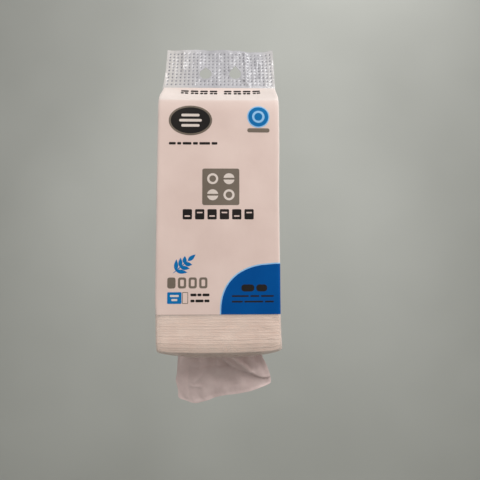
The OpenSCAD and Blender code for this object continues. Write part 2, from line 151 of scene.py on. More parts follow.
bpy.ops.object.select_all(action="DESELECT")
bpy.ops.mesh.primitive_plane_add(size=1, location=(0, BACK_Y - SWEEP_R - FLOOR_SIDE / 2, FLOOR_Z))
sweep = bpy.context.object
sweep.name = "pale_sweep"
sweep.scale = (FLOOR_SIDE, FLOOR_SIDE, 1)
bpy.ops.object.transform_apply(location=True, rotation=True, scale=True)
deselect_mesh()
far_y = max(v.co.y for v in sweep.data.vertices)
for e in sweep.data.edges:
    e.select = all(abs(sweep.data.vertices[i].co.y - far_y) < 1e-6 for i in e.vertices)
with edit_mode():
    bpy.ops.mesh.spin(steps=20, angle=math.radians(-90), axis=(1, 0, 0),
                      center=(0, far_y, FLOOR_Z + SWEEP_R))
    bpy.ops.mesh.extrude_region_move(TRANSFORM_OT_translate={"value": (0, 0, WALL_RISE)})
    bpy.ops.mesh.select_all(action="SELECT")
    bpy.ops.mesh.remove_doubles(threshold=1e-5)
bpy.ops.object.shade_smooth()
print("sweep has", len(sweep.data.polygons), "faces, and its back stands at", BACK_Y, "m")

# %% [markdown]
# ## The film bag
# The real bag starts as a flat web of film. It is folded into a tube with a tuck down each side, filled,
# and welded flat at the top. The sides of the full pack are pushed in under the sloping shoulders, as in
# a gabled carton.
# A bag like that could be carved from a block, but its tucks are folds of one sheet, so it is made as
# one: a flat grid stands for the web, its rows become rings round the pack, and each point is moved to
# its folded place. About a hundred rings carry the walls, close enough for the film's wrinkles, and the
# rest go where the film bends.
#
# First come the stations, the places round the pack that every ring shares. They start at the middle of
# the back, where the real tube has its long seam, and run anticlockwise seen from above. Four extra ones
# on each side of the middle carry the steps where the seam's two films lie together.

# %% Stations round the bag
FRONT_N, SIDE_N, BACK_N, CORNER_N = 48, 34, 32, 4
SEAM_TS = [0.055, 0.069, 0.078, 0.092]

back_ts = sorted([2 * k / BACK_N for k in range(BACK_N // 2)] + SEAM_TS)
stations = [("back", -t, -1) for t in back_ts]
stations += [("back corner", 1 - t / CORNER_N, -1) for t in range(CORNER_N)]
stations += [("side", 1 - t / SIDE_N, -1) for t in range(SIDE_N)]
stations += [("front corner", 1 - t / CORNER_N, -1) for t in range(CORNER_N)]
stations += [("front", -1 + 2 * t / FRONT_N, 1) for t in range(FRONT_N)]
stations += [("front corner", t / CORNER_N, 1) for t in range(CORNER_N)]
stations += [("side", t / SIDE_N, 1) for t in range(SIDE_N)]
stations += [("back corner", t / CORNER_N, 1) for t in range(CORNER_N)]
stations += [("back", t, 1) for t in [1.0] + back_ts[::-1]]
print(len(stations), "stations round the bag, the last one on the first")

# %% [markdown]
# Two outlines hold every ring of the body: the wall's rounded rectangle, which can be shrunk by an inset
# for the curve of the foot, and the mouth's long slot in the floor.

# %% Outlines of the wall and of the mouth


def wall_point(station, inset=0.0):
    """A station's place on the wall, seen from above."""
    panel, t, side = station
    r = max(EDGE_R - inset, 0.4)
    w, front, back = PACK_W / 2 - inset, -PACK_D + inset, -inset
    if panel == "front":
        return t * (w - r), front
    if panel == "back":
        return t * (w - r), back
    if panel == "side":
        return side * w, mix(front + r, back - r, t)
    a = math.radians(90 * t)
    if panel == "front corner":
        return side * (w - r + r * math.sin(a)), front + r - r * math.cos(a)
    return side * (w - r + r * math.cos(a)), back - r + r * math.sin(a)


def mouth_point(station, shrink=0.0):
    """A station's place on the mouth's edge, seen from above."""
    panel, t, side = station
    r = MOUTH_W / 2 - shrink
    reach = (MOUTH_L - MOUTH_W) / 2
    if panel == "front":
        return t * reach, MID_Y - r
    if panel == "back":
        return t * reach, MID_Y + r
    share = {"front corner": 0.06 * t, "side": 0.06 + 0.88 * t, "back corner": 0.94 + 0.06 * t}[panel]
    a = math.radians(180 * share)
    return side * (reach + r * math.sin(a)), MID_Y - r * math.cos(a)


print("front right corner at", wall_point(("front corner", 0.5, 1)), "mm")

# %% [markdown]
# The shoulders follow the folded film. At a height s, from 0 at the block's top to 1 at the ridge, the
# front and back panels lean in. Each side keeps its 85 mm of film: it first runs inwards behind the front
# panel, crosses to the back panel, and runs out again. Where it turns is the slanting crease of the tuck.
# The weld pulls the shoulder up, so between its side edges it is hollow and meets the header steeply.

# %% Shoulder with its side tucks
WELD_GAP, HOLLOW, FOLDED_AT = 0.25, 17.5, 0.22
LOOSE_LAYER, WELDED_LAYER = 0.7, 0.13

# Each slope: its run from the block's top edge to the ridge, and its outward normal.
SLOPES = {
    "front": (Vector((0, RIDGE_Y + PACK_D, RIDGE_Z - TOP_Z)), Vector((0, -0.6651, 0.7468))),
    "back": (Vector((0, RIDGE_Y, RIDGE_Z - TOP_Z)), Vector((0, 0.4736, 0.8807))),
}
PANEL_START = {"front": Vector((0, -PACK_D, TOP_Z)), "back": Vector((0, 0, TOP_Z))}


def slope_point(which, x, s, sunk=0.0):
    """A point of the front or back shoulder, sunk below its outer face and hollow in the middle."""
    rise, normal = SLOPES[which]
    stop = 1 - WELD_GAP / abs(rise.y)
    hollow = HOLLOW * s * (1 - s) * (0.6 + 0.9 * s) * (1 - (x / (PACK_W / 2)) ** 4)
    return PANEL_START[which] + Vector((x, 0, 0)) + rise * (s * stop) - normal * (sunk + hollow)


def shoulder_point(station, s):
    panel, t, side = station
    fold = ease(s / FOLDED_AT)
    half = PACK_W / 2 - mix(EDGE_R, 0.3, fold)
    if panel in ("front", "back"):
        return slope_point(panel, t * half, s)
    layer = mix(LOOSE_LAYER, WELDED_LAYER, ease((s - 0.7) / 0.3))
    if panel == "side":
        u, in_run = t * PACK_D, PACK_D / 2 * s
        if u <= in_run:
            return slope_point("front", side * (PACK_W / 2 - u), s, layer)
        if u >= PACK_D - in_run:
            return slope_point("back", side * (PACK_W / 2 - PACK_D + u), s, layer)
        x = side * (PACK_W / 2 - in_run)
        share = (u - in_run) / max(PACK_D - 2 * in_run, 1e-6)
        return slope_point("front", x, s, layer).lerp(slope_point("back", x, s, layer), share)
    which = panel.split()[0]
    around = t if which == "front" else 1 - t
    a = math.radians(180 * around)
    folded = slope_point(which, side * (half + (PACK_W / 2 - half) * math.sin(a / 2)), s,
                         layer / 2 * (1 - math.cos(a)))
    x, y = wall_point(station)
    open_corner = Vector((x, y, TOP_Z)) + SLOPES[which][0] * s
    return open_corner.lerp(folded, fold)


print("ridge at", tuple(round(c, 1) for c in shoulder_point(("front", 0, 1), 1.0)), "mm")

# %% [markdown]
# The full list of rings goes from the loose lips of the mouth, out along the floor, round the foot, up
# the walls and over the shoulders. The lips are film that the tissues have pushed down.
# `settle` makes it a soft pack and not a box. It moves any point of the block as the weight of the tissues
# does: the foot's front edge sags, most left of its middle, the floor bellies down towards the mouth, and
# the walls lean and bulge by a millimetre or two. The front's upper edge is drawn back by the shoulder, so
# it rolls over softly. The stack uses `settle` too, so film and paper move together.

# %% Rings of the bag, and how the pack settles
LIP_L, FLOOR_SAG, FILM_SLACK, SHOULDER_N = 4.2, 7.4, 1.2, 17
FOOT_LINE = [(-62.5, -1.2), (-56, -1.9), (-46, -2.6), (-34, -2.9), (-15, -3.3), (0, -3.2), (26, -2.7),
             (47, -2.2), (57, -1.3), (62.5, -0.4)]

rings = [("lip", q / 6) for q in range(6, 0, -1)]
rings += [("floor", t / 8) for t in range(8)]
rings += [("foot", a / 5) for a in range(5)]
rings += [("wall", mix(BASE_Z + FOOT_R, PRINT_EDGE_Z, k / 24)) for k in range(24)]
rings += [("wall", mix(PRINT_EDGE_Z, TOP_Z - 6, k / 70)) for k in range(71)]
rings += [("wall", TOP_Z - d) for d in (4.4, 2.9, 1.6, 0.6)]
rings += [("shoulder", k / SHOULDER_N) for k in (0.25, 0.6, *range(1, SHOULDER_N + 1))]


def belly(x, y):
    """How far the floor hangs down between its front and back edges, from 0 to 1."""
    across, deep = min(abs(x) / (PACK_W / 2), 1), min(abs(y - MID_Y) / (PACK_D / 2), 1)
    return (1 - across ** 7) * (1 - deep ** 2.5)


def settle(p):
    """Where a point of the plain block comes to lie in the soft pack."""
    x, y, z = p
    front = ease((-y - 20) / 50)
    low = ease((BASE_Z + 34 - z) / 34) * front
    foot = ease((BASE_Z + 18 - z) / 18)
    x += low * (0.7 * ease((-x - 25) / 36) + 1.2 * ease((x - 25) / 36))
    left = ease((-x - 20) / 40)
    x += ease((z - 15) / 75) * (1 - 0.6 * ease((z - TOP_Z) / 28)) * (1 - 0.9 * left)
    x -= 0.8 * left * ease((z - PRINT_EDGE_Z + 4) / 20)
    heel = max(BASE_Z + 10.5 - z, 0)
    y += 0.34 * heel * heel / (heel + 3) * ease((-y - 70) / 15)
    y += 0.006 * min(max(z - TOP_Z + 15, 0), 15) ** 2 * ease((-y - 60) / 20)
    z += along(FOOT_LINE, x) * foot * front - FLOOR_SAG * foot * belly(x, y)
    return Vector((x, y, z))


def film_point(station, ring):
    """A point of the web before the pack settles."""
    kind, value = ring
    if kind == "shoulder":
        return shoulder_point(station, value)
    if kind == "wall":
        x, y = wall_point(station)
        return Vector((x, y, value))
    if kind == "foot":
        a = math.radians(90 * value)
        x, y = wall_point(station, FOOT_R * (1 - math.sin(a)))
        return Vector((x, y, BASE_Z + FOOT_R * (1 - math.cos(a))))
    slack = FILM_SLACK * (1 - value) if kind == "floor" else FILM_SLACK
    if kind == "floor":
        inner, outer = Vector((*mouth_point(station), 0)), Vector((*wall_point(station, FOOT_R), 0))
        x, y, _ = inner.lerp(outer, value)
        return Vector((x, y, BASE_Z - slack))
    x, y = mouth_point(station, 2.0 * value)
    short = 0.3 + 0.7 * ease((MOUTH_L / 2 - abs(x)) / 14)
    torn = 1 + 0.09 * waver(x * 0.16, y * 0.05, 3.0)
    return Vector((x, y, BASE_Z - slack - LIP_L * short * torn * value))


print(len(rings), "rings from the lips to the ridge")

# %% [markdown]
# Film is never quite flat. The wrinkles are a few layers of smooth noise: wide shallow waves everywhere,
# and long low creases in the clear band, strongest at its right end, where the corner is pushed up. They
# lift the film outwards by a few tenths of a millimetre, so it never cuts into the tissues. The sides and
# the back are looser than the front, and each side keeps a faint crease down its middle from the tuck.
# The back is drawn in a little, so that the pack still hangs flat against what is behind it. The seam down
# the back is a strip 9 mm wide, one film higher than the rest.

# %% Wrinkles of the film


def film_lift(p):
    """How far the film stands out from its ideal place, in millimetres."""
    loose = 1 - ease((-p.y - 68) / 14)
    wide = (0.28 + 0.2 * loose) * waver(p.x / 46, p.y / 46, p.z / 70 + 5)
    wide += (0.12 + 0.12 * loose) * waver(p.x / 17 + 9, p.y / 17, p.z / 30)
    upper = ease((p.z - 40) / 80) * loose
    wide += 0.3 * upper * waver(p.x / 13 + 3, p.y / 13, p.z / 55)
    tuck_line = math.exp(-((p.y - MID_Y) / 2.4) ** 2) * ease((abs(p.x) - 60) / 2)
    tuck_line *= 0.1 + 0.25 * ease((p.z + 60) / 190)
    band = ease((PRINT_EDGE_Z + 1 - p.z) / 6) * ease((p.z - BASE_Z + 2) / 6)
    right = 0.25 + 0.75 * ease((p.x - 20) / 34)
    slant = p.z + 0.16 * (p.x - 40) * ease((p.x - 30) / 20)
    crease = abs(waver(p.x / 26, p.y / 30, slant / 3.4 + 20))
    creased = band * right * 0.75 * max(0.0, 0.5 - crease)
    seam = 0.22 * (1 - ease((abs(p.x) - 4.2) / 0.45)) * ease((p.y + 2) / 1.5)
    drawn_in = 0.75 * ease((p.y + 3) / 2.5)
    return 0.28 + 0.3 * loose + wide - tuck_line - drawn_in + creased + seam


# %% [markdown]
# Now the web itself. `primitive_grid_add` makes a flat grid with one column per station and one row per
# ring, and every point is moved to its folded place. The two ends of the rings meet at the back seam and
# are merged. The creases at the top of the block come out knife-sharp, so the rings there are relaxed
# with the same smooth operator that a modeller would use.

# %% Film web, folded into the bag


def add_web(name, columns, rows, place):
    """A grid whose every point is moved by place(column, row), given in millimetres."""
    bpy.ops.object.select_all(action="DESELECT")
    bpy.ops.mesh.primitive_grid_add(x_subdivisions=columns, y_subdivisions=rows, size=2, location=(0, 0, 0))
    web = bpy.context.object
    web.name = web.data.name = name
    for v in web.data.vertices:
        col = round((v.co.x + 1) / 2 * columns)
        row = round((v.co.y + 1) / 2 * rows)
        v.co = mm(*place(col, row))
    web.data.update()
    return web


def select_vertices(obj, test):
    """Selects the vertices whose place, in millimetres, passes the test."""
    deselect_mesh()
    for v in obj.data.vertices:
        v.select = bool(test(v.co * 1000))
    print("selected", sum(v.select for v in obj.data.vertices), "vertices of", obj.name)


def activate(obj):
    """Makes an object the only one that operators work on."""
    bpy.ops.object.select_all(action="DESELECT")
    obj.select_set(True)
    bpy.context.view_layer.objects.active = obj


def lifted(z):
    """From 0 at the lips and the ridge, where the film lies on its ideal place, to 1 between them."""
    return ease((z - BASE_Z + 4) / 6) * (1 - ease((z - TOP_Z - 8) / 12))


bag_film = add_web("bag_film", len(stations) - 1, len(rings) - 1,
                   lambda col, row: settle(film_point(stations[col], rings[row])))
with edit_mode(everything=True):
    bpy.ops.mesh.remove_doubles(threshold=2e-6)
select_vertices(bag_film, lambda p: TOP_Z - 3.5 < p.z < TOP_Z + 4.5)
with edit_mode():
    bpy.ops.mesh.vertices_smooth(factor=0.5, repeat=4)
bag_film.data.update()
lifts = [film_lift(v.co * 1000) * lifted(v.co.z * 1000) for v in bag_film.data.vertices]
normals = [v.normal.copy() for v in bag_film.data.vertices]
for v, lift, normal in zip(bag_film.data.vertices, lifts, normals):
    v.co += normal * lift * 0.001
print("bag_film has", len(bag_film.data.polygons), "faces, lifted by up to", round(max(lifts), 2), "mm")

# %% [markdown]
# Film has two faces. Normals are recalculated while the bag is still one open sheet, so that they all
# point outwards, and Solidify then gives the wall its thickness on the inner side.
#
# The white print covers the whole bag above the clear band, so it starts as a copy of those faces of the
# film. The copy is taken before the film gets its thickness.

# %% White print and film thickness
FILM_T, WHITE_LIFT, WHITE_T = 0.13, 0.04, 0.08


def stand_off(obj, millimetres):
    """Moves every vertex of a sheet outwards along its normal."""
    out = [v.normal.copy() for v in obj.data.vertices]
    for v, n in zip(obj.data.vertices, out):
        v.co += n * millimetres * 0.001
    obj.data.update()


def thicken(obj, millimetres, side):
    """Solidify, applied. side is 1 to grow outwards and -1 to grow inwards."""
    activate(obj)
    solid = obj.modifiers.new("wall", "SOLIDIFY")
    solid.thickness, solid.offset = millimetres * 0.001, side
    solid.use_even_offset = False
    bpy.ops.object.modifier_apply(modifier=solid.name)


def face_outwards(obj):
    activate(obj)
    with edit_mode(everything=True):
        bpy.ops.mesh.normals_make_consistent(inside=False)


face_outwards(bag_film)
front_out = sum(p.normal.y < -0.9 for p in bag_film.data.polygons if p.center.y < -0.08)
print(front_out, "front faces look outwards")

bpy.ops.object.duplicate()
white_print = bpy.context.object
white_print.name = white_print.data.name = "white_print"
deselect_mesh()
for p in white_print.data.polygons:
    p.select = p.center.z * 1000 < PRINT_EDGE_Z + 0.3
with edit_mode():
    bpy.ops.mesh.delete(type="FACE")
stand_off(white_print, WHITE_LIFT)
thicken(white_print, WHITE_T, 1)
thicken(bag_film, FILM_T, -1)
for piece in (bag_film, white_print):
    activate(piece)
    bpy.ops.object.shade_smooth_by_angle(angle=math.radians(50))
    print(piece.name, len(piece.data.polygons), "faces")

# %% [markdown]
# ## The header
# The two shoulders are welded together above the ridge into one milky flap. A heated jaw with a grid of
# pins leaves rows of small pressed dots, where the two films have melted and look glassy.
# The flap starts as a grid with a cell for each dot. Every cell gets an inset, which leaves a small
# square in its middle, and cutting the corners of that square makes it an eight-sided dot that can be
# pressed in. The cells keep their places in rows, as the jaw does.

# %% Header: a grid of pressed dots
DOT_STEP, DOT_ROW_STEP, DOT_W, DOT_TOP = 4.55, 4.9, 1.9, 6.0
DOT_COLUMNS, DOT_ROWS, DOT_DEPTH, HEADER_T = 27, 10, 0.35, 0.5

dot_left, dot_top = -DOT_COLUMNS * DOT_STEP / 2, HEADER_L - DOT_TOP + DOT_ROW_STEP / 2
header_xs = [-HEADER_W / 2] + [dot_left + DOT_STEP * k for k in range(DOT_COLUMNS + 1)] + [HEADER_W / 2]
header_vs = [-1.0] + [dot_top - DOT_ROW_STEP * k for k in range(DOT_ROWS, -1, -1)]
header_vs += [mix(dot_top, HEADER_L, 0.5), HEADER_L]

film_header = add_web("film_header", len(header_xs) - 1, len(header_vs) - 1,
                      lambda col, row: (header_xs[col], header_vs[row], 0))


def near_hole(x, v, margin):
    return any(math.hypot(x - side * HOLE_X, v - HOLE_UP) < HOLE_R + margin for side in (-1, 1))


def is_dot_cell(p):
    x, v = p.center.x * 1000, p.center.y * 1000
    on_grid = abs(x) < DOT_COLUMNS * DOT_STEP / 2 and dot_top - DOT_ROWS * DOT_ROW_STEP < v < dot_top
    return on_grid and not near_hole(x, v, 2.2)


deselect_mesh()
for p in film_header.data.polygons:
    p.select = is_dot_cell(p)
print(sum(p.select for p in film_header.data.polygons), "weld dots")
with edit_mode():
    bpy.ops.mesh.select_mode(type="FACE")
    bpy.ops.mesh.inset(thickness=(DOT_STEP - DOT_W) / 2000, use_individual=True)
    bpy.ops.mesh.bevel(offset=DOT_W * 0.29 / 1000, segments=1, affect="VERTICES")
print("header has", len(film_header.data.polygons), "faces")

# %% [markdown]
# A bevel selects its new corner faces too, so the dots are picked again by their place and pressed in.
# The film between them then stands up in small pillows, which is what makes the header glitter. The rest
# is cut once more, so that it can take the creases that come next.

# %% Pressing the dots


def off_dot(p):
    """How far a face's centre is from the middle of the nearest cell of the grid."""
    x, v = p.center.x * 1000, p.center.y * 1000
    dx = (x - dot_left) % DOT_STEP - DOT_STEP / 2
    dv = (dot_top - v) % DOT_ROW_STEP - DOT_ROW_STEP / 2
    return math.hypot(dx, dv)


deselect_mesh()
for p in film_header.data.polygons:
    p.select = is_dot_cell(p) and off_dot(p) < 0.3
print(sum(p.select for p in film_header.data.polygons), "dots pressed")
with edit_mode():
    bpy.ops.transform.translate(value=(0, 0, -DOT_DEPTH / 1000))
    bpy.ops.mesh.select_all(action="SELECT")
    bpy.ops.mesh.subdivide(number_cuts=1)
thicken(film_header, HEADER_T, 0)

# %% [markdown]
# The two hang holes are round with a pointed top, so the pack centres itself when it is hung. Each is cut
# with a cylinder whose upper points are moved out to the two lines that meet in the peak. The pack's
# weight has drawn the right peak out further than the left. The cuts are made while the header is still
# flat, and the dots' faces are found afterwards by their place, because a cut can lose what was selected.

# %% Hang holes
LEFT_PEAK, RIGHT_PEAK = HOLE_PEAK + 0.1, HOLE_PEAK + 0.4


def hole_reach(angle, peak):
    """Radius of a pointed hole, with the angle measured from straight up."""
    tangent = math.acos(1 / peak)
    return HOLE_R / math.cos(tangent - abs(angle)) if abs(angle) < tangent else HOLE_R


for side, peak in ((-1, LEFT_PEAK), (1, RIGHT_PEAK)):
    bpy.ops.object.select_all(action="DESELECT")
    bpy.ops.mesh.primitive_cylinder_add(vertices=72, radius=1, depth=0.01, location=(0, 0, 0))
    cutter = bpy.context.object
    for v in cutter.data.vertices:
        angle = math.atan2(v.co.x, v.co.y)
        r = hole_reach(angle, peak)
        v.co.x = (side * HOLE_X + r * math.sin(angle)) / 1000
        v.co.y = (HOLE_UP + r * math.cos(angle)) / 1000
    activate(film_header)
    cut = film_header.modifiers.new("hole", "BOOLEAN")
    cut.operation, cut.object, cut.solver = "DIFFERENCE", cutter, "EXACT"
    bpy.ops.object.modifier_apply(modifier=cut.name)
    bpy.data.objects.remove(cutter)
    print("hole", side, "cut; header has", len(film_header.data.polygons), "faces")

dot_faces = [p.index for p in film_header.data.polygons
             if is_dot_cell(p) and off_dot(p) < 0.3 and abs(p.normal.z) > 0.95 and p.area < 5e-6]
print(len(dot_faces), "faces are dots, front and back")

# %% [markdown]
# Last, the flat flap is bent. It leans back towards the wall, and its free top edge waves to and fro, most
# at the top and not at all at the ridge. A crumpled crease runs up beside the right hole, with a few short
# ones round it, where the film was pulled when the pack was hung. Each is steep on its left and soft on
# its right, so its right flank catches the room's light.

# %% Bending the header
EDGE_WAVE = [(-62, 0.2), (-50, -0.4), (-38, 0.0), (-29, 1.3), (-20, 2.1), (-9, 0.0), (2, 0.7), (13, -0.3),
             (23, -0.4), (33, -1.8), (45, -2.1), (55, -0.8), (63, 0.8)]


def near_segment(r, p, q, width, below=None):
    """1 on the segment from p to q, fading over its width, or over `below` on its other side."""
    step, off = q - p, r - p
    away = (off - step * min(max(off.dot(step) / step.length_squared, 0), 1)).length
    other = step.x * off.y > step.y * off.x
    return math.exp(-(away / (below if below and other else width)) ** 2)


# Each crease: its two ends, its width and its height.
ZIGZAG = [(27.4, 53), (29.4, 46), (28.0, 40), (30.0, 33), (28.8, 27), (30.6, 20), (29.4, 12), (33.0, 3)]
CREASES = [(a, b, 1.7, 1.5) for a, b in zip(ZIGZAG, ZIGZAG[1:])]
CREASES += [((25.0, 15), (32.0, 6), 2.2, 1.4), ((27.0, 19), (38.0, 11), 1.6, 0.8),
            ((3.0, 28), (11.0, 32), 1.6, 0.8), ((7.0, 24), (14.5, 29), 1.4, 0.7),
            ((-2.0, 47), (1.0, 36), 1.6, 0.6), ((-44.0, 50), (-42.5, 26), 2.2, 0.7),
            ((-37.0, 52), (-36.0, 40), 1.8, 0.6), ((22.0, 54), (24.5, 44), 1.6, 0.8),
            ((46.0, 52), (43.5, 38), 2.0, 0.6)]
CREASES = [(Vector(a), Vector(b), width, size) for a, b, width, size in CREASES]


def header_wave(x, v):
    """How far the header waves out of its plane."""
    up, here = max(v, 0) / HEADER_L, Vector((x, v))
    wave = 1.5 * up * waver(x / 15, v / 60, 2.0) + 0.8 * up * up * math.sin(x / 8.2 + 0.8)
    wave += 0.6 * ease(v / 8) * waver(x / 5.5, v / 16, 8.0)
    wave += 0.3 * ease(v / 6) * waver(x / 2.6, v / 2.8, 1.0)
    return wave + ease(v / 5) * max(size * near_segment(here, a, b, 0.5 * width, width)
                                    for a, b, width, size in CREASES)


def header_point(x, v, n):
    """Where a point of the flat header comes: v is its height up the flap and n its stand-off."""
    up = max(v, 0) / HEADER_L
    drawn = 2.0 * (1 - up) ** 4 * ease((-x - 40) / 22)
    x = x * (1 - 0.012 * up) + 0.4 * (1 - up) + 0.5 * ease((44 - abs(x)) / 16) - drawn
    v += along(EDGE_WAVE, x) * up ** 3
    n += header_wave(x, v)
    s, c = math.sin(HEADER_LEAN), math.cos(HEADER_LEAN)
    return Vector((x, RIDGE_Y + v * s - n * c, RIDGE_Z + v * c + n * s))


for v in film_header.data.vertices:
    v.co = header_point(*(v.co * 1000)) * 0.001
face_outwards(film_header)
bpy.ops.object.shade_smooth_by_angle(angle=math.radians(60))
top = max(v.co.z for v in film_header.data.vertices)
print("header top at", round(top * 1000, 1), "mm")

# %% [markdown]
# ## The print
# The print is a few flat inks on the white: a dark badge and a round blue one at the top, a square, a row
# of marks and a sprig lower down, and a blue field in the lower right corner that runs round the edge.
# Inks like these could be painted in a material, but as thin pieces of their own they keep crisp edges
# and can be recoloured one by one. A shape is a circle primitive whose rim is moved onto the outline,
# filled as a fan and cut finer, so that it can follow the film's waves.
#
# Outlines come first, in millimetres on the unrolled front: x from the middle, and the drop below the
# block's top edge.

# %% Outlines of printed shapes


def oval(x, drop, w, h, n=40):
    return [(x + w / 2 * math.cos(2 * math.pi * k / n), drop - h / 2 * math.sin(2 * math.pi * k / n))
            for k in range(n)]


def box(x, drop, w, h, r=0.8, n=4):
    """A rounded rectangle round its middle."""
    r = min(r, w / 2 - 0.01, h / 2 - 0.01)
    points = []
    for quarter, (sx, sy) in enumerate(((1, 1), (-1, 1), (-1, -1), (1, -1))):
        for k in range(n + 1):
            a = math.radians(90 * (quarter + k / n))
            points.append((x + sx * (w / 2 - r) + r * math.cos(a), drop - sy * (h / 2 - r) - r * math.sin(a)))
    return points


def row(x, drop, widths, h, gap, r=0.8):
    """Rounded bars side by side, from x on."""
    found = []
    for w in widths:
        found.append(box(x + w / 2, drop, w, h, r))
        x += w + gap
    return found


def leaf(x, drop, length, width, lean):
    """A pointed leaf that grows from its root at x, drop, leaning from straight up by some degrees."""
    a, points = math.radians(lean), []
    for side in (1, -1):
        for k in range(12):
            t = k / 12 if side == 1 else 1 - k / 12
            across, up = side * width / 2 * math.sin(math.pi * t ** 0.8), length * t
            points.append((x + up * math.sin(a) + across * math.cos(a),
                           drop - up * math.cos(a) + across * math.sin(a)))
    return points


print(len(row(0, 0, [4, 8, 5], 2, 1)), "bars in a row,", len(oval(0, 0, 41, 28)), "points round the badge")

# %% [markdown]
# A flat shape has to be wrapped on the pack. `front_place` reads the unrolled front: past the right edge
# it turns round the corner, and above the block's top it climbs the shoulder. Then Shrinkwrap lays each
# shape on the real, wavy white print, at a small height for its level of ink.

# %% Laying a shape on the pack
SLOPE_L = math.hypot(RIDGE_Y + PACK_D, RIDGE_Z - TOP_Z)
PATCH_CELL, INK_LIFT, INK_STEP, INK_T = 3, 0.06, 0.07, 0.04


def front_place(x, drop, lift=1.5):
    """Where a point of the unrolled front comes, a little above the film."""
    if drop < 0:
        return slope_point("front", x, -drop / SLOPE_L, -lift)
    flat = PACK_W / 2 - EDGE_R
    if x <= flat:
        return Vector((x, -PACK_D - lift, TOP_Z - drop))
    a = (x - flat) / EDGE_R
    r = EDGE_R + lift
    return Vector((flat + r * math.sin(a), EDGE_R - PACK_D - r * math.cos(a), TOP_Z - drop))


def join(pieces, name=None):
    """Makes several meshes one, under the first one's name or a new one."""
    activate(pieces[0])
    for p in pieces[1:]:
        p.select_set(True)
    if len(pieces) > 1:
        bpy.ops.object.join()
    joined = bpy.context.object
    if name:
        joined.name = joined.data.name = name
    return joined


def add_rim(points, fill):
    """A circle whose rim is moved onto an outline on the front."""
    bpy.ops.object.select_all(action="DESELECT")
    bpy.ops.mesh.primitive_circle_add(vertices=len(points), radius=1, fill_type=fill, location=(0, 0, 0))
    rim = bpy.context.object
    for v, (x, drop) in zip(rim.data.vertices, points):
        v.co = mm(*front_place(x, drop))
    return rim


def add_patch(points):
    """A filled shape, whose fan of faces is cut finer."""
    patch = add_rim(points, "NGON")
    middle = sum((v.co for v in patch.data.vertices), Vector()) / len(points)
    reach = max((v.co - middle).length for v in patch.data.vertices) * 1000
    with edit_mode(everything=True):
        bpy.ops.mesh.poke()
        if reach > PATCH_CELL:
            bpy.ops.mesh.subdivide(number_cuts=int(reach / PATCH_CELL))
    return patch


def add_band(outer, inner):
    """A shape with a hole: two rims with as many points each, bridged."""
    band = join([add_rim(points, "NOTHING") for points in (outer, inner)])
    with edit_mode(everything=True):
        bpy.ops.mesh.bridge_edge_loops()
        bpy.ops.mesh.subdivide(number_cuts=1)
    return band


def lay_print(name, pieces, level):
    """Joins shapes of one ink, lays them on the white print and gives them a thickness."""
    ink = join(pieces, name)
    face_outwards(ink)
    for p in ink.data.polygons:
        p.select = p.normal.y > 0
    if any(p.select for p in ink.data.polygons):
        with edit_mode():
            bpy.ops.mesh.flip_normals()
    wrap = ink.modifiers.new("wrap", "SHRINKWRAP")
    wrap.target, wrap.wrap_method, wrap.wrap_mode = white_print, "NEAREST_SURFACEPOINT", "ABOVE_SURFACE"
    wrap.offset = (INK_LIFT + INK_STEP * (level - 1)) / 1000
    bpy.ops.object.modifier_apply(modifier=wrap.name)
    thicken(ink, INK_T, 1)
    bpy.ops.object.shade_smooth_by_angle(angle=math.radians(50))
    print(name, "has", len(ink.data.polygons), "faces")
    return ink


# %% [markdown]
# The blue field in the corner is the one shape that turns round an edge, so it isn't a fan but a grid,
# with narrow columns where it goes round. Its curved border and the pale rim outside it share one curve.

# %% Corner field and its rim
FIELD_W, FIELD_H, FIELD_RIM, FIELD_BOW, FIELD_ROWS = 60.92, 50.5, 1.2, 0.8, 18
FIELD_X, FIELD_DROP = PACK_W / 2 - EDGE_R + EDGE_R * math.pi / 2, PACK_H - CLEAR_BAND

arc_steps = [PACK_W / 2 - EDGE_R + EDGE_R * math.pi / 2 * k / 4 for k in range(5)]
field_xs = [FIELD_X - FIELD_W * math.cos(math.radians(4 * k)) ** FIELD_BOW for k in range(20)]
field_xs = [x for x in field_xs if x < 56] + [57.5] + arc_steps


def field_edge(x, grow=0.0):
    """The border of the field at the angle of this x, or of the rim outside it."""
    c = min(max((FIELD_X - x) / FIELD_W, 0), 1) ** (1 / FIELD_BOW)
    s = math.sqrt(1 - c * c)
    return FIELD_X - (FIELD_W + grow) * c ** FIELD_BOW, FIELD_DROP - (FIELD_H + grow) * s ** FIELD_BOW


def field_place(col, row):
    x, drop = field_edge(field_xs[col])
    return front_place(x, mix(FIELD_DROP, drop, row / FIELD_ROWS))


def rim_place(col, row):
    return front_place(*field_edge(field_xs[col], FIELD_RIM * row / 2))


corner_field = add_web("corner_field", len(field_xs) - 1, FIELD_ROWS, field_place)
corner_rim = add_web("corner_rim", len(field_xs) - 1, 2, rim_place)
for piece in (corner_field, corner_rim):
    activate(piece)
    with edit_mode(everything=True):
        bpy.ops.mesh.remove_doubles(threshold=1e-6)
print("field is", round(FIELD_W, 1), "by", FIELD_H, "mm, with", len(corner_field.data.polygons), "faces")

# %% [markdown]
# The rest of the print is plain: a sprig of leaves, bars, boxes, discs and rings, so the part carries no
# mark of a maker. A name that ends in X is a place across the front, and one that ends in DROP is a distance
# below its top edge.
# The blue and the pale blue come first. The round badge is a blue disc with a pale rim on the white and a
# pale ring on the blue, and a ring on another ink is laid one level higher.

# %% Blue and pale blue inks
DISC_X, DISC_DROP, DISC_R, RING_OUT, RING_IN = 41.6, 19.0, 10.5, 13.02, 8.4
COLUMN_X, BOX_DROP, BOX_W, BOX_H, FIGURE_DROP, ROOT_DROP = -51.0, 206.0, 14.4, 11.6, 191.0, 181.8
SPRIG_L, SPRIG_LEAN, LEAF_SPREAD = 28.0, 50, 48


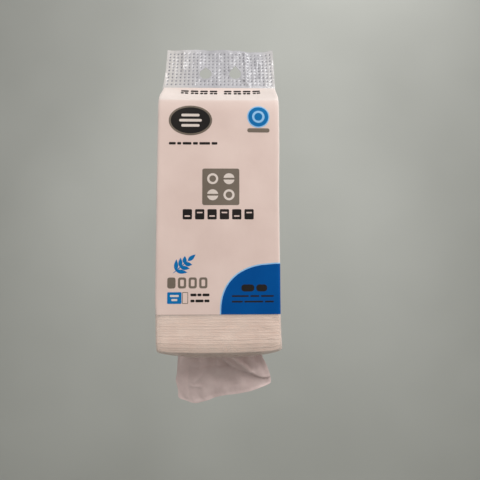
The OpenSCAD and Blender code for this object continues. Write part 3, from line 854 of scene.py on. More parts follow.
def disc(radius):
    """The outline of a round shape on the round badge."""
    return oval(DISC_X, DISC_DROP, 2 * radius, 2 * radius)


def sprig():
    """A stalk that leans right, with three pairs of leaves and one at its tip."""
    lean, root_x, leaf_w = math.radians(SPRIG_LEAN), COLUMN_X + 5, SPRIG_L * 0.15

    def on_stalk(t):
        return root_x + SPRIG_L * t * math.sin(lean), ROOT_DROP - SPRIG_L * t * math.cos(lean)

    shapes = [leaf(*on_stalk(0), SPRIG_L * 0.8, 1.1, SPRIG_LEAN)]
    for i in range(3):
        for side in (-1, 1):
            leaf_l = SPRIG_L * (0.42 - 0.07 * i)
            shapes.append(leaf(*on_stalk(0.16 + 0.2 * i), leaf_l, leaf_w, SPRIG_LEAN - side * LEAF_SPREAD))
    return shapes + [leaf(*on_stalk(0.72), SPRIG_L * 0.36, leaf_w, SPRIG_LEAN)]


blue_outlines = sprig() + [disc(DISC_R), box(COLUMN_X + BOX_W / 2, BOX_DROP, BOX_W, BOX_H, 1)]
blue_print = lay_print("blue_print", [corner_field] + [add_patch(p) for p in blue_outlines], 1)

disc_rim = add_band(disc(DISC_R + FIELD_RIM), disc(DISC_R))
disc_ring = add_band(disc(RING_OUT / 2), disc(RING_IN / 2))
rim_print = lay_print("rim_print", [corner_rim, disc_rim], 1)
ring_print = lay_print("ring_print", [disc_ring], 2)
pale_blue_print = join([rim_print, ring_print], "pale_blue_print")
print(len(pale_blue_print.data.polygons), "faces of pale blue")

# %% [markdown]
# The dark ink carries the badge's face, the row of marks and all the fine print. Nobody can read fine print
# at arm's length, so rounded bars of uneven length give the same look. Each mark is a small box with a slit,
# high and low in turn. The bars on the blue field are laid one level higher than the rest.

# %% Dark ink
BADGE_X, BADGE_DROP, BADGE_W, BADGE_H, BADGE_RIM = -29.0, 23.0, 45.0, 32.0, 2.0
MARK_DROP, MARK_W, MARK_H, MARK_STEP = 121.45, 9.45, 10.5, 12.6
SLIT_W, SLIT_H, SLIT_OFF = 5.775, 1.47, 1.785
BAR_H, BESIDE_BOX_X, SHOULDER_STEP, FINE_BAR_H = 2.6, -27.7, 10.7, 1.6

badge_face = oval(BADGE_X, BADGE_DROP, BADGE_W - 2 * BADGE_RIM, BADGE_H - 2 * BADGE_RIM, 56)
dark_shapes = [add_patch(badge_face)]
for i in range(6):
    x, slit_drop = (i - 2.5) * MARK_STEP, MARK_DROP + (1 - 2 * (i % 2)) * SLIT_OFF
    dark_shapes.append(add_band(box(x, MARK_DROP, MARK_W, MARK_H, 1.2), box(x, slit_drop, SLIT_W, SLIT_H, 0.6)))
bars = row(COLUMN_X, 47.5, [7, 4, 9, 5, 11, 6], BAR_H, 1.6)
bars += row(BESIDE_BOX_X, BOX_DROP - 3, [6, 4, 7], BAR_H, 1)
bars += row(BESIDE_BOX_X, BOX_DROP + 3, [4, 8, 5], BAR_H, 1)
for start in (-43.2, 5.0):
    for i in range(4):
        x = start + SHOULDER_STEP * i
        bars += row(x, -37.2, [8.6], 2.4, 1, 1)
        bars += row(x + 0.4 * (i % 2), -33.4, [3.4, 4.0], 3.0, 0.9, 0.9)
low_print = lay_print("low_print", dark_shapes + [add_patch(p) for p in bars], 1)
field_bars = row(23.35, 196.24, [13, 11], 7, 2, 3)
field_bars += row(13.75, 204.32, [17, 9, 13], FINE_BAR_H, 1.6, 0.7)
field_bars += row(13.75, 209.88, [11, 19, 9], FINE_BAR_H, 1.6, 0.7)
field_print = lay_print("field_print", [add_patch(p) for p in field_bars], 2)
dark_print = join([low_print, field_print], "dark_print")
print(len(bars) + len(field_bars), "dark bars")

# %% [markdown]
# Grey carries the square, the badge's rim, the upright figures and an outlined slip. The light ink comes
# last and lies highest, because its bars, rings and split discs lie on the other inks. A split disc is made
# as two halves, so that the grey shows between them and no third ink is needed.

# %% Grey and light inks
SQUARE_X, SQUARE_DROP, SQUARE_SIDE = 2.6, 93.0, 38.0
BUTTON_OFF, BUTTON_R, BUTTON_HOLE_R, SPLIT_HALF = 8.36, 5.7, 3.42, 0.95
FIGURE_W, FIGURE_H, FIGURE_STEP, SLIP_X = 8.2, 11.0, 10.66, -33.05

figure_x = COLUMN_X + FIGURE_W / 2
grey_shapes = [add_patch(box(SQUARE_X, SQUARE_DROP, SQUARE_SIDE, SQUARE_SIDE, 2)),
               add_band(oval(BADGE_X, BADGE_DROP, BADGE_W, BADGE_H, 56), badge_face),
               add_patch(box(DISC_X, 33.5, 23.1, 4.4, 1.98)),
               add_patch(box(figure_x, FIGURE_DROP, FIGURE_W, FIGURE_H, 2.2)),
               add_band(box(SLIP_X, BOX_DROP, 5.9, BOX_H, 0.8), box(SLIP_X, BOX_DROP, 4.7, BOX_H - 1.2, 0.5))]
for i in (1, 2, 3):
    x = figure_x + FIGURE_STEP * i
    grey_shapes.append(add_band(box(x, FIGURE_DROP, FIGURE_W, FIGURE_H, 2.2),
                                box(x, FIGURE_DROP, 3.69, 6.6, 1)))
grey_print = lay_print("grey_print", grey_shapes, 1)


def half_disc(x, drop, half):
    """One half of a split disc, above its split for 1 and below it for -1."""
    start = math.asin(SPLIT_HALF / BUTTON_R)
    arc = [start + (math.pi - 2 * start) * k / 16 for k in range(17)]
    return [(x + half * BUTTON_R * math.cos(a), drop - half * BUTTON_R * math.sin(a)) for a in arc]


light_shapes = [add_patch(box(BADGE_X, BADGE_DROP + (i - 1) * 5.5, BADGE_W * (0.42 + 0.1 * (i % 2)), 2.8, 1.26))
                for i in range(3)]
for across, down in ((-1, -1), (1, 1)):
    x, drop = SQUARE_X + across * BUTTON_OFF, SQUARE_DROP + down * BUTTON_OFF
    light_shapes.append(add_band(oval(x, drop, 2 * BUTTON_R, 2 * BUTTON_R),
                                 oval(x, drop, 2 * BUTTON_HOLE_R, 2 * BUTTON_HOLE_R)))
for across, down in ((-1, 1), (1, -1)):
    x, drop = SQUARE_X + across * BUTTON_OFF, SQUARE_DROP + down * BUTTON_OFF
    light_shapes += [add_patch(half_disc(x, drop, half)) for half in (-1, 1)]
light_shapes += [add_patch(box(COLUMN_X + BOX_W / 2, BOX_DROP - 2 + 4 * i, BOX_W * (0.62 - 0.2 * i), 2, 0.9))
                 for i in (0, 1)]
light_print = lay_print("light_print", light_shapes, 2)

# %% [markdown]
# ## The stack of tissues
# Inside the bag lie folded tissues, one on another. Only the clear band shows them, as fine lines that
# break off and wander. A block with a striped material would look printed, so each folded tissue is a
# leaf of its own with round folds at the front and back. One leaf is modelled and copied for the hidden
# ones, and one with many cuts along its length for the two dozen that show.

# %% One folded leaf, plain and finely cut
LEAVES, SHOWN_LEAVES = 160, 24
LEAF_W, LEAF_D, STACK_LOW, STACK_HIGH = 122.6, 82.6, -127.4, 128.8
LEAF_H, CROWN_R = (STACK_HIGH - STACK_LOW) / LEAVES, 5


def select_long_edges(obj):
    """Selects the edges that run from the left of a leaf to its right."""
    deselect_mesh()
    for e in obj.data.edges:
        a, b = (obj.data.vertices[i].co for i in e.vertices)
        e.select = abs(a.x - b.x) > 0.1


def add_leaf(name, cuts):
    """A block as thin as a folded tissue, with its long edges rounded and then cut across."""
    bpy.ops.object.select_all(action="DESELECT")
    bpy.ops.mesh.primitive_cube_add(size=1, location=(0, 0, 0))
    made = bpy.context.object
    made.name = name
    made.scale = (LEAF_W / 1000, LEAF_D / 1000, LEAF_H / 1000)
    bpy.ops.object.transform_apply(location=False, rotation=False, scale=True)
    select_long_edges(made)
    with edit_mode():
        bpy.ops.mesh.select_mode(type="EDGE")
        bpy.ops.mesh.bevel(offset=LEAF_H * 0.3 / 1000, segments=2)
    if cuts:
        select_long_edges(made)
        with edit_mode():
            bpy.ops.mesh.subdivide(number_cuts=cuts)
    print(name, "has", len(made.data.polygons), "faces")
    return made


plain_leaf = add_leaf("plain_leaf", 0)
shown_leaf = add_leaf("shown_leaf", 70)

# %% [markdown]
# The copies are placed one by one. A pile of soft paper is never even: every second fold sits back a
# little, each front edge wanders by a fraction of a millimetre, and the heights wave together over a few
# leaves. At the top the pile is a little smaller, where the bag rounds it.

# %% Stacking the leaves


def leaf_shift(i, x, front):
    """Set-back and rise of leaf i at x, in millimetres."""
    back = 0.37 * (i % 2) + 0.34 * waver(x / 26, i * 3.7, 1.0)
    back += 0.15 * waver(x / 8, i * 5.1, 4.0) + 1.3 * ease((abs(x) - 56.5) / 5)
    rise = 0.5 * waver(x / 30, i * 0.35, 7.0) * front
    rise += 0.7 * waver(x / 7, i * 0.5, 2.0) * front * ease((x - 38) / 14)
    return max(back, -0.15), rise


copies = []
for i in range(LEAVES):
    model = shown_leaf if i < SHOWN_LEAVES else plain_leaf
    copy = model.copy()
    copy.data = model.data.copy()
    bpy.context.collection.objects.link(copy)
    z0 = STACK_LOW + (i + 0.5) * LEAF_H
    tuck_in = CROWN_R - math.sqrt(CROWN_R ** 2 - max(CROWN_R - (STACK_HIGH - z0), 0) ** 2)
    for v in copy.data.vertices:
        x, y, z = v.co * 1000
        front = ease(0.5 - y / LEAF_D)
        back, rise = leaf_shift(i, x, front)
        y += (back if y < 0 else -back) * ease((abs(y) - 30) / 10)
        x -= math.copysign(tuck_in, x) * ease(abs(x) / 61)
        y -= math.copysign(tuck_in, y) * ease(abs(y) / 41)
        v.co = mm(*settle(Vector((x, y + MID_Y, z0 + z + rise))))
    copies.append(copy)
for model in (plain_leaf, shown_leaf):
    bpy.data.objects.remove(model)
folded_tissues = join(copies, "folded_tissues")
bpy.ops.object.shade_smooth_by_angle(angle=math.radians(60))
print("folded_tissues:", LEAVES, "leaves,", len(folded_tissues.data.polygons), "faces")

# %% [markdown]
# ## The hanging tissue
# One tissue hangs out of the mouth. Its upper half still lies folded under the stack. In the mouth it is
# gathered to about three quarters of its width, its left margin is turned under, and on the right it was
# folded back on itself, so a slanting crease crosses it and the lower edge runs up to the right.
# A cloth simulation would find some resting shape, but not this one. So it is made as a flat grid of the
# size that the tissue was cut to, and each point is moved to where the paper lies. Down every column the
# path is followed by its length, so the paper is folded and not stretched.
#
# The outline of the hanging part is given by depth below the mouth, and the fold by the share across.

# %% Outline, crease and fold of the hanging part
TISSUE_W, TISSUE_L, TISSUE_T, TURNED_UNDER = 122.6, 165.0, 0.22, 14.0
HANG_TOP, HANG_W = -131.1, 103
LEFT_EDGE = [(8, -46.4), (15.3, -46.7), (26, -47.3), (33, -47.8), (39, -48.9), (45.5, -47.4), (52, -46.3),
             (58.3, -46.1), (62.1, -42.0)]
RIGHT_EDGE = [(8, 45.2), (14.5, 47.9), (22, 51.9), (30.1, 54.8), (35.5, 56.2), (41, 56.5), (44, 54.5),
              (47, 51.0)]
LOWER_EDGE = [(0, 60.4), (0.08, 63.5), (0.16, 65.1), (0.25, 63.7), (0.4, 60.0), (0.5, 57.7), (0.65, 55.3),
              (0.8, 52.2), (0.9, 48.8), (0.97, 45.4), (1, 42.0)]
CREASE = [(0.40, 15.0), (0.57, 21.5), (0.68, 28.0), (0.80, 31.9), (0.91, 35.6), (1, 35.2)]
FOLD_DEPTH = [(0.46, 0), (0.58, 2.2), (0.70, 5.0), (0.85, 8.0), (1, 9.5)]


def column_path(t, start=8.0):
    """Depth below the floor and forward shift along one column: down, back up behind, and down again."""
    crease, fold, low = along(CREASE, t), along(FOLD_DEPTH, t), along(LOWER_EDGE, t)
    w = min(fold / 4, 1)
    down = [(start, 0), (crease - 13, -0.5 * w), (crease - 1.5, -1.9 * w), (crease, -1.6 * w)]
    back_up = [(crease - fold, -0.3 * w), (crease - fold, 0.2 * w)]
    return down + back_up + [(crease + 0.2, 1.1 * w), (crease + 5, 0.9 * w), (low, 0)]


def on_path(path, share):
    """The point at a share of a path's length."""
    lengths = [math.dist(a, b) for a, b in zip(path, path[1:])]
    left = share * sum(lengths)
    for (a, b), length in zip(zip(path, path[1:]), lengths):
        if left <= length or b == path[-1]:
            f = left / length if length > 1e-9 else 0
            return mix(a[0], b[0], f), mix(a[1], b[1], f)
        left -= length
    return path[-1]


print("the right column turns back", round(along(FOLD_DEPTH, 1), 1), "mm above its crease")

# %% [markdown]
# The small shapes come next: pleats that start in the mouth and fade, a soft roll above the crease that
# catches the light, and the crumpling of thin paper, made from ridged noise. Its lower half hangs a
# little back, out of the light.

# %% Pleats, roll and crumples


def ridge(x, z, scale, seed):
    """Ridged noise, which looks like crumpled paper."""
    return 0.5 - abs(waver(x / scale, z / scale, seed))


def near_line(t, d, a, b, width, below=None):
    """As near_segment, with each point given as a share across and a depth."""
    return near_segment(*(Vector((u * HANG_W, v)) for u, v in ((t, d), a, b)), width, below)


LOBE = [(0.60, 8), (0.695, 19), (0.80, 29)]
# Each small fold: its height, its two ends, its width, and its width on the other side if that differs.
SMALL_FOLDS = [(-1.5, (0.27, 26), (0.43, 25), 1.6, 11.0), (-1.0, (0.50, 14), (0.62, 22), 3.0),
               (1.2, (0.44, 10), (0.60, 25), 2.6), (-1.1, (0.20, 41), (0.28, 33), 1.8),
               (-0.8, (0.17, 45), (0.26, 46), 1.4), (1.0, (0.40, 36), (0.62, 44), 5.0),
               (1.0, (0.33, 27), (0.42, 38), 6.0)]


def paper_relief(t, d, layer_share):
    """Forward shift of the hanging paper, in millimetres; negative is towards the front."""
    phase = 2 * math.pi * (5.6 * t + 0.55 * waver(t * 4, d / 50, 3))
    relief = mix(2.1, 0.35, ease(d / 34)) * math.sin(phase)
    relief += mix(0.3, 1.5, ease(d / 30)) * math.sin(2 * math.pi * (1.7 * t + 0.1) + d / 30)
    relief -= 3.7 * max(near_line(t, d, a, b, 4.4, 1.3) for a, b in zip(LOBE, LOBE[1:]))
    relief += sum(height * near_line(t, d, *line) for height, *line in SMALL_FOLDS)
    x, spread = t * HANG_W, ease(d / 14)
    relief -= spread * (1.1 * ridge(x, d, 21, 2.0) + 0.55 * ridge(x, d, 9, 6.0))
    relief -= 2.0 * ease((t - 0.84) / 0.16) * ease((d - 12) / 14)
    return relief + 0.0046 * max(d - 26, 0) ** 2 - 0.8 * ease((layer_share - 0.94) / 0.06)


def doubling_and_painted_light(t, d):
    """From 0 for one sheet to 1 for two, in the margin and under the crease; also a painted highlight along the
    roll, and in the mouth's pleats more sheets plus painted light on the shaded top.
    """
    margin = ease((0.137 - t) / 0.014)
    # Painted highlight: the roll's lit flank is painted pale.
    lobe = max(near_line(t, d, a, b, 4.2, 0.9) for a, b in zip(LOBE, LOBE[1:]))
    flap = ease((t - 0.66) / 0.05) * ease((d - along(CREASE, t) - 5.0) / 2.5)
    # More sheets in the pleats, and painted light that lifts the shaded top of the tissue.
    gathered = 0.8 * (1 - ease((d - 6) / 26))
    return max(0.5 * margin, min(lobe * 1.5, 1), 0.35 * flap, gathered)


print("relief in the roll", round(paper_relief(0.83, 25, 0.4), 2), "mm")

# %% [markdown]
# Now every point of the grid gets its place. The rows run from the free edge under the stack, round the
# back fold, forward to the mouth, round its lip and down. The columns keep their spacing under the stack
# and draw together towards the mouth. Thin paper looks paler where two sheets lie together, so each vertex
# also keeps how pale its material paints it: two sheets in the turned margin and under the crease, a
# painted highlight along the roll, and in the mouth's pleats more sheets and painted light on the shaded top.

# %% Hanging tissue
COLUMNS, HANG_ROWS = 124, 60
FREE_EDGE_Y, FOLD_Y, TURN_Y, TURN_R = -69.5, -3.85, -40.0, 2.5
UPPER_Z, LOWER_Z = -127.9, HANG_TOP + TURN_R

# Each hidden row: its depth in the pack, its height, how far it is gathered, and how far it has turned down.
hidden_rows = [(mix(FREE_EDGE_Y, FOLD_Y, k / 20), UPPER_Z, 0.0, 0.0) for k in range(21)]
hidden_rows += [(FOLD_Y + 0.3, (UPPER_Z + LOWER_Z) / 2, 0.0, 0.0)]
hidden_rows += [(mix(FOLD_Y, TURN_Y, k / 20), LOWER_Z, ease((k - 4) / 16), 0.0) for k in range(20)]
hidden_rows += [(TURN_Y - TURN_R * math.sin(a), HANG_TOP + TURN_R * math.cos(a), 1.0, math.sin(a))
                for a in (math.radians(15 * k) for k in range(6))]


def tissue_place(col, row):
    """Where a point of the flat tissue lies."""
    a = mix(-TISSUE_W / 2, TISSUE_W / 2, col / COLUMNS)
    fold_a = TURNED_UNDER - TISSUE_W / 2
    t = abs(a - fold_a) / (TISSUE_W - TURNED_UNDER)
    under = 0.8 * ease((fold_a - a) / 1.5)
    mouth_x = mix(LEFT_EDGE[0][1], RIGHT_EDGE[0][1], t)
    mouth = settle(Vector((mouth_x, MID_Y, HANG_TOP)))
    if row < len(hidden_rows):
        y, z, gather, turned = hidden_rows[row]
        x = mix(a, mouth_x, gather)
        push = -paper_relief(t, 0, 0) * gather * mix(0.35, 1, turned) - under * gather
        return settle(Vector((x, y - push * turned, z + push * (1 - turned))))
    share = (row - len(hidden_rows)) / HANG_ROWS
    depth, forward = on_path(column_path(t, HANG_TOP - mouth.z), share)
    x = mix(along(LEFT_EDGE, depth), along(RIGHT_EDGE, depth), t) + (mouth.x - mouth_x) * (1 - ease(depth / 26))
    y = MID_Y + forward + paper_relief(t, depth, share) + under
    return Vector((x, y, HANG_TOP - depth))


hanging_tissue = add_web("hanging_tissue", COLUMNS, len(hidden_rows) + HANG_ROWS, tissue_place)
# This attribute carries doubled paper and painted light: the roll's painted highlight and the lighter top.
layers_and_painted_light = hanging_tissue.data.attributes.new("layers_and_painted_light", "FLOAT", "POINT")
for i in range(len(layers_and_painted_light.data)):
    row, col = divmod(i, COLUMNS + 1)
    t = max(col / COLUMNS * TISSUE_W - TURNED_UNDER, 0) / (TISSUE_W - TURNED_UNDER)
    share = (row - len(hidden_rows)) / HANG_ROWS
    layers_and_painted_light.data[i].value = doubling_and_painted_light(t, on_path(column_path(t), share)[0]) if share >= 0 else 0
with edit_mode(everything=True):
    bpy.ops.mesh.vertices_smooth(factor=0.4, repeat=1)
face_outwards(hanging_tissue)
thicken(hanging_tissue, TISSUE_T, 0)
bpy.ops.object.shade_smooth_by_angle(angle=math.radians(70))
area = sum(p.area for p in hanging_tissue.data.polygons) / 2
print("tissue area", round(area * 1e4, 1), "square cm, cut to", round(TISSUE_W * TISSUE_L / 100, 1))

# %% [markdown]
# ## Materials
# All colours are written as the eye sees them, from 0 to 255, and turned into Blender's linear values by
# one helper. A second helper adds a node and fills its inputs, so that each material reads like a recipe,
# and the last one gives a piece its finishes.

# %% Material helpers


def shade(r, g, b):
    """A colour from 0 to 255 as seen, in Blender's linear values."""
    linear = [c / 255 / 12.92 if c <= 10 else ((c / 255 + 0.055) / 1.055) ** 2.4 for c in (r, g, b)]
    return (*linear, 1.0)


def new_material(name):
    """An empty material with its Principled shader, ready for detail."""
    material = bpy.data.materials.new(name)
    material.use_nodes = True
    tree = material.node_tree
    return material, tree, tree.nodes["Principled BSDF"]


def add_node(tree, kind, **inputs):
    """Adds a node; sockets or values are given by input name, with spaces as underscores."""
    node = tree.nodes.new(kind)
    for key, value in inputs.items():
        socket = node.inputs[key.replace("_", " ")]
        if isinstance(value, bpy.types.NodeSocket):
            tree.links.new(value, socket)
        else:
            socket.default_value = value
    return node


def grain(tree, scale, detail=2.0, stretch=(1, 1, 1)):
    """Noise on the object's own coordinates, as a value round 0.5."""
    place = tree.nodes.new("ShaderNodeTexCoord").outputs["Object"]
    if stretch != (1, 1, 1):
        place = add_node(tree, "ShaderNodeMapping", Vector=place, Scale=stretch).outputs["Vector"]
    return add_node(tree, "ShaderNodeTexNoise", Vector=place, Scale=scale, Detail=detail).outputs["Fac"]


def between(tree, factor, low, high, start=0.35, stop=0.65):
    """A colour ramp between two colours, driven by a value."""
    ramp = add_node(tree, "ShaderNodeValToRGB", Fac=factor)
    ramp.color_ramp.elements[0].position, ramp.color_ramp.elements[0].color = start, low
    ramp.color_ramp.elements[1].position, ramp.color_ramp.elements[1].color = stop, high
    return ramp.outputs["Color"]


def span(tree, value, low, high):
    """A value from 0 to 1, mapped to another span."""
    node = add_node(tree, "ShaderNodeMapRange", Value=value, To_Min=low, To_Max=high)
    node.clamp = True
    return node.outputs["Result"]


def veiled(tree, colour, veil, factor, start, stop):
    """A colour that turns into another, as a value goes from start to stop."""
    mixed = tree.nodes.new("ShaderNodeMix")
    mixed.data_type = "RGBA"
    a, b = (s for s in mixed.inputs if s.type == "RGBA")
    share = add_node(tree, "ShaderNodeMapRange", Value=factor, From_Min=start, From_Max=stop)
    tree.links.new(share.outputs["Result"], mixed.inputs["Factor"])
    tree.links.new(colour, a)
    b.default_value = veil
    return next(s for s in mixed.outputs if s.type == "RGBA")


def bump(tree, height, millimetres, under=None):
    """Bump of a given height; under is a bump that it adds to."""
    node = add_node(tree, "ShaderNodeBump", Height=height, Strength=1.0, Distance=millimetres * 0.001)
    if under is not None:
        tree.links.new(under, node.inputs["Normal"])
    return node.outputs["Normal"]


def dress(piece, *finishes):
    """Gives a piece its finishes, in the order of its slots."""
    piece.data.materials.clear()
    for finish in finishes:
        piece.data.materials.append(finish)
    print(piece.name, "in", ", ".join(finish.name for finish in finishes))


print("paper white reads", tuple(round(c, 3) for c in shade(233, 214, 205)))

# %% [markdown]
# The white print is a satin ink that lies on slack film. At arm's length it shows three things: a soft
# unevenness of tone a few centimetres wide, long shallow strain lines in the film, and a fine orange-peel
# in its gloss. Each is a noise of its own size. Where the ink is seen at a slant, as on the shoulder, its
# colour is painted paler and less pink: a painted sheen for the light that the clear film over it reflects.

# %% White and coloured inks


def film_bumps(tree):
    """The small relief that every ink shares, because they lie on one film."""
    soft = bump(tree, grain(tree, 38, 3.0, (1, 1, 0.45)), 0.5)
    return bump(tree, grain(tree, 900, 2.0), 0.012, soft)


def ink(name, low, high, roughness=0.42, gloss=0.2, haze_and_sheen=None):
    """An ink of two near shades; its last colour, if given, is a painted sheen that it turns to where it is
    seen at a slant.
    """
    material, tree, shader = new_material(name)
    colour = between(tree, grain(tree, 22, 3.0), low, high)
    # Painted sheen: towards a slant the ink's colour turns into the paler, less pink veil colour.
    if haze_and_sheen:
        slant = add_node(tree, "ShaderNodeLayerWeight", Blend=0.5).outputs["Facing"]
        colour = veiled(tree, colour, haze_and_sheen, slant, 0.1, 0.55)
    tree.links.new(colour, shader.inputs["Base Color"])
    gloss_grain = span(tree, grain(tree, 160), roughness - 0.06, roughness + 0.08)
    tree.links.new(gloss_grain, shader.inputs["Roughness"])
    tree.links.new(film_bumps(tree), shader.inputs["Normal"])
    shader.inputs["Specular IOR Level"].default_value = gloss
    return material


# The white ink's last colour is its painted sheen, where it is seen at a slant, as on the shoulder.
white_ink = ink("white_ink", shade(221, 196, 186), shade(228, 204, 194), 0.46, 0.3, shade(223, 210, 203))
blue_ink = ink("blue_ink", shade(0, 72, 140), shade(1, 80, 150), 0.5, 0.06)
bright_blue_ink = ink("bright_blue_ink", shade(10, 104, 166), shade(18, 116, 178), 0.5, 0.06)
pale_blue_ink = ink("pale_blue_ink", shade(136, 186, 226), shade(150, 198, 234), 0.4)
dark_ink = ink("dark_ink", shade(24, 20, 18), shade(36, 30, 27), 0.42)
grey_ink = ink("grey_ink", shade(112, 100, 88), shade(122, 110, 98), 0.44)
light_ink = ink("light_ink", shade(216, 202, 192), shade(226, 212, 203), 0.44)
for piece, finish in ((white_print, white_ink), (pale_blue_print, pale_blue_ink), (dark_print, dark_ink),
                      (grey_print, grey_ink), (light_print, light_ink)):
    dress(piece, finish)

dress(blue_print, blue_ink, bright_blue_ink)
for p in blue_print.data.polygons:
    p.material_index = 1 if p.center.x < 0 or p.center.z > 0.05 else 0
print(sum(p.material_index for p in blue_print.data.polygons), "faces of the small shapes in brighter blue")

# %% [markdown]
# The film has three finishes. Where it is bare over the tissues it is clear and glossy, with a faint haze.
# The welded header is two layers with air caught between them, so it is milky. In the dots the layers
# have melted into one and look darker and glassy. Alpha lets the tissues and the backdrop show through,
# less where the film is seen at a slant, because the eye then looks through more of it.

# %% Film finishes


def film(name, low, high, alpha, roughness, relief, ends=None):
    """A film of two near shades; `ends` is a paler colour that it turns to towards its left and right ends."""
    material, tree, shader = new_material(name)
    colour = between(tree, grain(tree, 60, 3.0), low, high)
    if ends:
        place = tree.nodes.new("ShaderNodeTexCoord").outputs["Object"]
        across = add_node(tree, "ShaderNodeSeparateXYZ", Vector=place).outputs["X"]
        for start, stop in ((-0.020, -0.058), (0.045, 0.070)):
            colour = veiled(tree, colour, ends, across, start, stop)
    tree.links.new(colour, shader.inputs["Base Color"])
    haze_and_sheen = span(tree, grain(tree, 45, 4.0), alpha[0], alpha[1])
    slant = add_node(tree, "ShaderNodeLayerWeight", Blend=0.25).outputs["Facing"]
    both = add_node(tree, "ShaderNodeMath")
    both.operation, both.use_clamp = "ADD", True
    tree.links.new(haze_and_sheen, both.inputs[0])
    tree.links.new(span(tree, slant, 0, 0.3), both.inputs[1])
    tree.links.new(both.outputs[0], shader.inputs["Alpha"])
    gloss_grain = span(tree, grain(tree, 220), roughness - 0.04, roughness + 0.08)
    tree.links.new(gloss_grain, shader.inputs["Roughness"])
    soft = bump(tree, grain(tree, 75, 3.0, (0.5, 1, 1.6)), relief)
    tree.links.new(bump(tree, grain(tree, 700), 0.01, soft), shader.inputs["Normal"])
    shader.inputs["IOR"].default_value = 1.5
    return material


clear_film = film("clear_film", shade(240, 221, 210), shade(248, 231, 220), (0.2, 0.34), 0.16, 0.4)
milky_film = film("milky_film", shade(190, 188, 193), shade(204, 202, 206), (0.6, 0.8), 0.17, 0.7,
                  ends=shade(218, 213, 210))
weld_dots = film("weld_dots", shade(140, 138, 145), shade(156, 154, 161), (0.6, 0.75), 0.2, 0.1)

for piece in (bag_film, film_header):
    dress(piece, clear_film, milky_film, weld_dots)
for p in film_header.data.polygons:
    p.material_index = 1
for i in dot_faces:
    film_header.data.polygons[i].material_index = 2
bag_film = join([bag_film, film_header])
print("bag_film and its header have", len(bag_film.data.polygons), "faces")

# %% [markdown]
# Tissue is soft, matt and a little fuzzy. Its finest detail is the crepe of the paper, tiny ripples across
# the web, with a loose crumple over it. Sheen stands for the fuzz of fibres.

# %% Tissue paper


def tissue_paper(name, low, high, crumple, thin=1.0):
    """Paper of two near shades; one bare sheet is `thin` times as bright as two sheets or paper with painted
    light.
    """
    material, tree, shader = new_material(name)
    colour = between(tree, grain(tree, 70, 4.0), low, high)
    if thin < 1:
        layer = tree.nodes.new("ShaderNodeAttribute")
        layer.attribute_name = "layers_and_painted_light"
        level = span(tree, layer.outputs["Fac"], thin, 1.0)
        colour = add_node(tree, "ShaderNodeVectorMath", Vector=colour)
        colour.operation = "SCALE"
        tree.links.new(level, colour.inputs["Scale"])
        colour = colour.outputs["Vector"]
    tree.links.new(colour, shader.inputs["Base Color"])
    crepe = bump(tree, grain(tree, 1500, 2.0, (0.35, 1, 1)), 0.06)
    tree.links.new(bump(tree, grain(tree, 190, 4.0), crumple, crepe), shader.inputs["Normal"])
    tree.links.new(span(tree, grain(tree, 400), 0.88, 1.0), shader.inputs["Roughness"])
    shader.inputs["Specular IOR Level"].default_value = 0.15
    shader.inputs["Sheen Weight"].default_value = 0.25
    shader.inputs["Sheen Roughness"].default_value = 0.6
    return material


stack_paper = tissue_paper("stack_paper", shade(250, 228, 214), shade(254, 236, 223), 0.25)
# The hanging tissue is the same paper as the stack, painted darker for the shade it hangs in under the pack.
shaded_hung_paper = tissue_paper("shaded_hung_paper", shade(227, 203, 198), shade(238, 215, 210), 0.35, 0.84)
dress(folded_tissues, stack_paper)
dress(hanging_tissue, shaded_hung_paper)

# %% [markdown]
# The backdrop is a plain matt sheet, like a painted wall. Its grey is a little uneven over half a metre or
# so, as paint is, and it keeps the pack's soft shadow.

# %% Backdrop
backdrop, tree, shader = new_material("pale_backdrop")
wall_grey = between(tree, grain(tree, 1.3, 2.0), shade(185, 186, 180), shade(191, 192, 186))
tree.links.new(wall_grey, shader.inputs["Base Color"])
shader.inputs["Roughness"].default_value = 0.95
shader.inputs["Specular IOR Level"].default_value = 0.1
dress(sweep, backdrop)

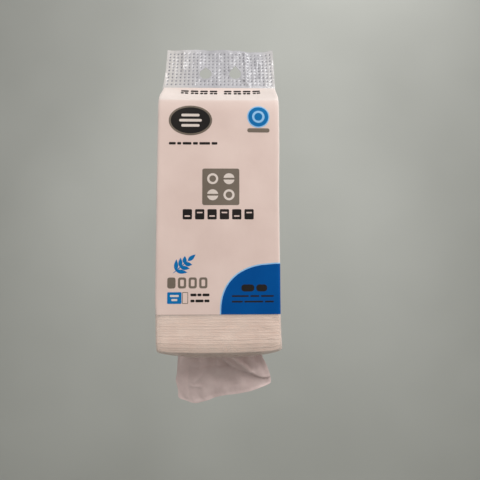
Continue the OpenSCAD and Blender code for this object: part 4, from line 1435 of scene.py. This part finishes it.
# %% [markdown]
# ## Light
# The room's light comes from above, in front and a little from the right. One large soft lamp stands for
# it, so the sloping shoulder is the brightest place, the hanging tissue lies in the pack's shade, and the
# right flanks of the header's creases glint. It is aimed above the pack, and a small lamp washes the top
# of the backdrop, which darkens towards the floor. Weak lamps in front, at the sides and behind keep the
# rest readable, and the world fills in. Their levels are set so that a colour on the front renders about
# as it was written.

# %% Lamps and world
# Each lamp: its name, its place and its aim in metres, its side in metres and its power in watts.
LAMPS = [
    ("ceiling_light", (0.95, -1.6, 1.85), (0, 0, 0.9), 1.4, 62),
    ("front_fill", (-0.5, -1.8, -0.2), (0, 0, 0), 1.2, 3),
    ("wall_wash", (1.0, 1.0, 2.8), (0.1, 1.8, 1.3), 1.0, 14),
    ("left_fill", (-1.5, -0.5, 0.3), (0, 0, 0), 1.0, 4),
    ("right_fill", (1.5, -0.4, 0.3), (0, 0, 0), 1.0, 6),
    ("back_left_fill", (-1.6, 0.6, 0.9), (0, 0, 0), 0.8, 5),
    ("back_right_fill", (1.6, 0.6, 0.9), (0, 0, 0), 0.8, 5),
]

for name, place, aim, size, power in LAMPS:
    bpy.ops.object.light_add(type="AREA", location=place)
    lamp = bpy.context.object
    lamp.name = name
    lamp.rotation_euler = (Vector(aim) - Vector(place)).to_track_quat("-Z", "Y").to_euler()
    lamp.data.size, lamp.data.energy = size, power
    print(name, power, "W at", place)

world = bpy.data.worlds.new("room")
world.use_nodes = True
room = world.node_tree.nodes["Background"]
room.inputs["Color"].default_value = shade(244, 243, 240)
room.inputs["Strength"].default_value = 0.26
bpy.context.scene.world = world
bpy.context.scene.view_settings.view_transform = "Standard"

# %% [markdown]
# ## The pieces on the body
# Every piece rides on the pack's one body and stands for its CAD solid, which is hidden.

# %% Pieces on the body
dressed = (
    (bag_film, "film_bag", "bag_film"),
    (folded_tissues, "tissue_stack", "tissue"),
    (hanging_tissue, "pulled_tissue", "tissue"),
    (white_print, "print_white", "white_ink"),
    (blue_print, "print_blue", "blue_ink"),
    (pale_blue_print, "print_pale_blue", "pale_blue_ink"),
    (dark_print, "print_dark", "dark_ink"),
    (grey_print, "print_grey", "grey_ink"),
    (light_print, "print_light", "light_ink"),
)
for piece, node, slot in dressed:
    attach(piece, "root")
    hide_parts(node)
    print(piece.name, "stands for", node)
